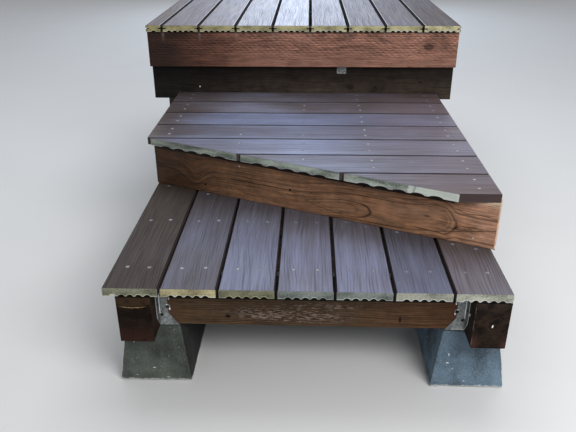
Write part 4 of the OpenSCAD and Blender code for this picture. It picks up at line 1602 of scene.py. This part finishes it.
class STAIRS_OT_board_clips(bpy.types.Operator):
    """Fit the clips that hold the deck boards by their slots"""

    bl_idname = "stairs.board_clips"
    bl_label = "Deck Board Clips"

    def execute(self, context):
        shape = bmesh.new()
        level, half = (DECK_UNDER + DECK_TOP) / 2, 1.2 * MM
        bearers = ("deck_rim_front", "deck_joist_front", "deck_joist_back", "deck_rim_back")
        rows = [middle_of(bearer).y for bearer in bearers]
        for x, gap in deck_gaps():
            wing, stem = gap / 2 + 10.5 * MM, gap / 2 - 0.4 * MM
            right = [(stem, DECK_UNDER), (stem, level - half), (wing, level - half), (wing + 0.6 * MM, level),
                     (wing, level + half)]
            outline = right + [(-a, z) for a, z in reversed(right)]
            for y in rows:
                swept(shape, [(x + a, 0.0, z) for a, z in outline], (0, y - 9 * MM, 0), (0, y + 9 * MM, 0))
                turned(shape, CLIP_SCREW, facing_out(Vector((x, y, level + half)), Z_AXIS), 12)
        add_piece("deck_board_clips", shape, clip_finish())
        return {"FINISHED"}


def soft_lamp(name, spot, aim, width, height, power, colour):
    """A rectangular soft lamp."""
    light = bpy.data.lights.new(name, "AREA")
    light.shape, light.size, light.size_y = "RECTANGLE", width, height
    light.energy, light.color = power, colour
    lamp = bpy.data.objects.new(name, light)
    lamp.location = spot
    lamp.rotation_euler = (Vector(aim) - Vector(spot)).to_track_quat("-Z", "Y").to_euler()
    lamp.visible_camera = False
    bpy.context.scene.collection.objects.link(lamp)


# The eye that looks down at the steps: its place, turn, lean and tilt, and its lens in mm
EYE = (0.02955, -2.54746, 1.20019)
EYE_TURNS = tuple(math.radians(angle) for angle in (2.369, 26.064, -0.318))
SENSOR_WIDTH_MM, LENS_MM, LENS_SHIFT = 36.0, 39.74, (0.0079, -0.0013)


class STAIRS_OT_stage(bpy.types.Operator):
    """Lay the floor, hang the lamps and set the camera"""

    bl_idname = "stairs.stage"
    bl_label = "Floor, Lamps and Camera"

    def execute(self, context):
        looks = context.scene.stair_stage
        scene = context.scene
        reach = 14.0
        mesh = bpy.data.meshes.new("floor")
        corners = [(x * reach, y * reach, 0) for x, y in ((-1, -1), (1, -1), (1, 1), (-1, 1))]
        mesh.from_pydata(corners, [], [(0, 1, 2, 3)])
        floor = bpy.data.objects.new("floor", mesh)
        floor.location.z = -0.5 * MM
        scene.collection.objects.link(floor)
        ground = Finish("floor_finish")
        grain = ground.noise(ground.place, 3.0, 3.0)
        colour = ground.blend(grain, looks.floor, shade(looks.floor, 0.96))
        mesh.materials.append(ground.surface(colour, 0.85, grain, 0.5 * MM, specular=0.2))
        self.backdrop(scene, looks)
        for name, spot, aim, width, height, colour in (
            ("top_lamp", (0.1, 0.5, 3.5), (0, -0.2, 0.4), 3.2, 2.4, (0.95, 0.98, 1.0)),
            ("front_lamp", (1.5, -2.8, 2.2), (0.1, -0.5, 0.4), 1.6, 1.2, (1.0, 0.99, 0.98)),
            ("back_lamp", (0.0, 6.0, 2.7), (0, 0, 0.6), 2.2, 3.0, (0.70, 0.82, 1.0)),
        ):
            soft_lamp(name, spot, aim, width, height, getattr(looks, name), colour)
        self.camera(scene)
        scene.view_settings.view_transform = "Standard"
        return {"FINISHED"}

    def backdrop(self, scene, looks):
        """Light all round, seen by the camera and in gloss as a pale backdrop."""
        scene.world = bpy.data.worlds.new("backdrop")
        room = Tree(scene.world)
        seen = room.node("ShaderNodeLightPath", out="Is Camera Ray")
        for ray in ("Is Glossy Ray", "Is Transmission Ray"):
            seen = seen.most(room.node("ShaderNodeLightPath", out=ray))
        light = room.node("ShaderNodeBackground", None, {"Color": (0.95, 0.97, 1.0), "Strength": looks.sky})
        shown = room.node("ShaderNodeBackground", None, {"Color": looks.backdrop})
        mixed = room.node("ShaderNodeMixShader", None, {0: seen, 1: light, 2: shown})
        room.node("ShaderNodeOutputWorld", None, {"Surface": mixed}, out=None)

    def camera(self, scene):
        """A camera at a standing person's eye, looking down at the steps."""
        view = bpy.data.cameras.new("camera")
        view.sensor_width, view.sensor_fit, view.lens = SENSOR_WIDTH_MM, "HORIZONTAL", LENS_MM
        view.shift_x, view.shift_y = LENS_SHIFT
        view.clip_end = 100.0
        eye = bpy.data.objects.new("camera", view)
        yaw, pitch, roll = EYE_TURNS
        ahead = Vector((-math.sin(yaw) * math.cos(pitch), math.cos(yaw) * math.cos(pitch), -math.sin(pitch)))
        level = Vector((math.cos(yaw), math.sin(yaw), 0))
        upright = level.cross(ahead)
        right = level * math.cos(roll) + upright * math.sin(roll)
        above = upright * math.cos(roll) - level * math.sin(roll)
        turn = Matrix((right, above, -ahead)).transposed()
        eye.matrix_world = Matrix.Translation(EYE) @ turn.to_4x4()
        scene.collection.objects.link(eye)
        scene.camera = eye


STEPS = (
    STAIRS_OT_lower_boards, STAIRS_OT_upper_boards, STAIRS_OT_deck_boards, STAIRS_OT_framing,
    STAIRS_OT_dark_framing, STAIRS_OT_piers, STAIRS_OT_steel, STAIRS_OT_board_screws,
    STAIRS_OT_hanger_nails, STAIRS_OT_frame_nails, STAIRS_OT_board_clips, STAIRS_OT_stage,
)


class STAIRS_PT_finishes(bpy.types.Panel):
    """Finishes and fixings of the deck stairs"""

    bl_label = "Deck Stairs"
    bl_idname = "STAIRS_PT_finishes"
    bl_space_type = "VIEW_3D"
    bl_region_type = "UI"
    bl_category = "Deck Stairs"

    def draw(self, context):
        for step in STEPS:
            self.layout.operator(step.bl_idname, text=step.bl_label)
        for name, group in GROUPS.items():
            box = self.layout.box()
            for setting in group.__annotations__:
                box.prop(getattr(context.scene, name), setting)


CLASSES = (*GROUPS.values(), *STEPS, STAIRS_PT_finishes)


def register():
    for cls in CLASSES:
        bpy.utils.register_class(cls)
    for name, group in GROUPS.items():
        setattr(bpy.types.Scene, name, PointerProperty(type=group))


def unregister():
    for name in GROUPS:
        delattr(bpy.types.Scene, name)
    for cls in reversed(CLASSES):
        bpy.utils.unregister_class(cls)


def main():
    register()
    bpy.ops.stairs.stage()
    bpy.ops.stairs.lower_boards()
    bpy.ops.stairs.upper_boards()
    bpy.ops.stairs.deck_boards()
    bpy.ops.stairs.framing()
    bpy.ops.stairs.dark_framing()
    bpy.ops.stairs.piers()
    bpy.ops.stairs.steel()
    bpy.ops.stairs.board_screws()
    bpy.ops.stairs.hanger_nails()
    bpy.ops.stairs.frame_nails()
    bpy.ops.stairs.board_clips()


if __name__ == "__main__":
    main()
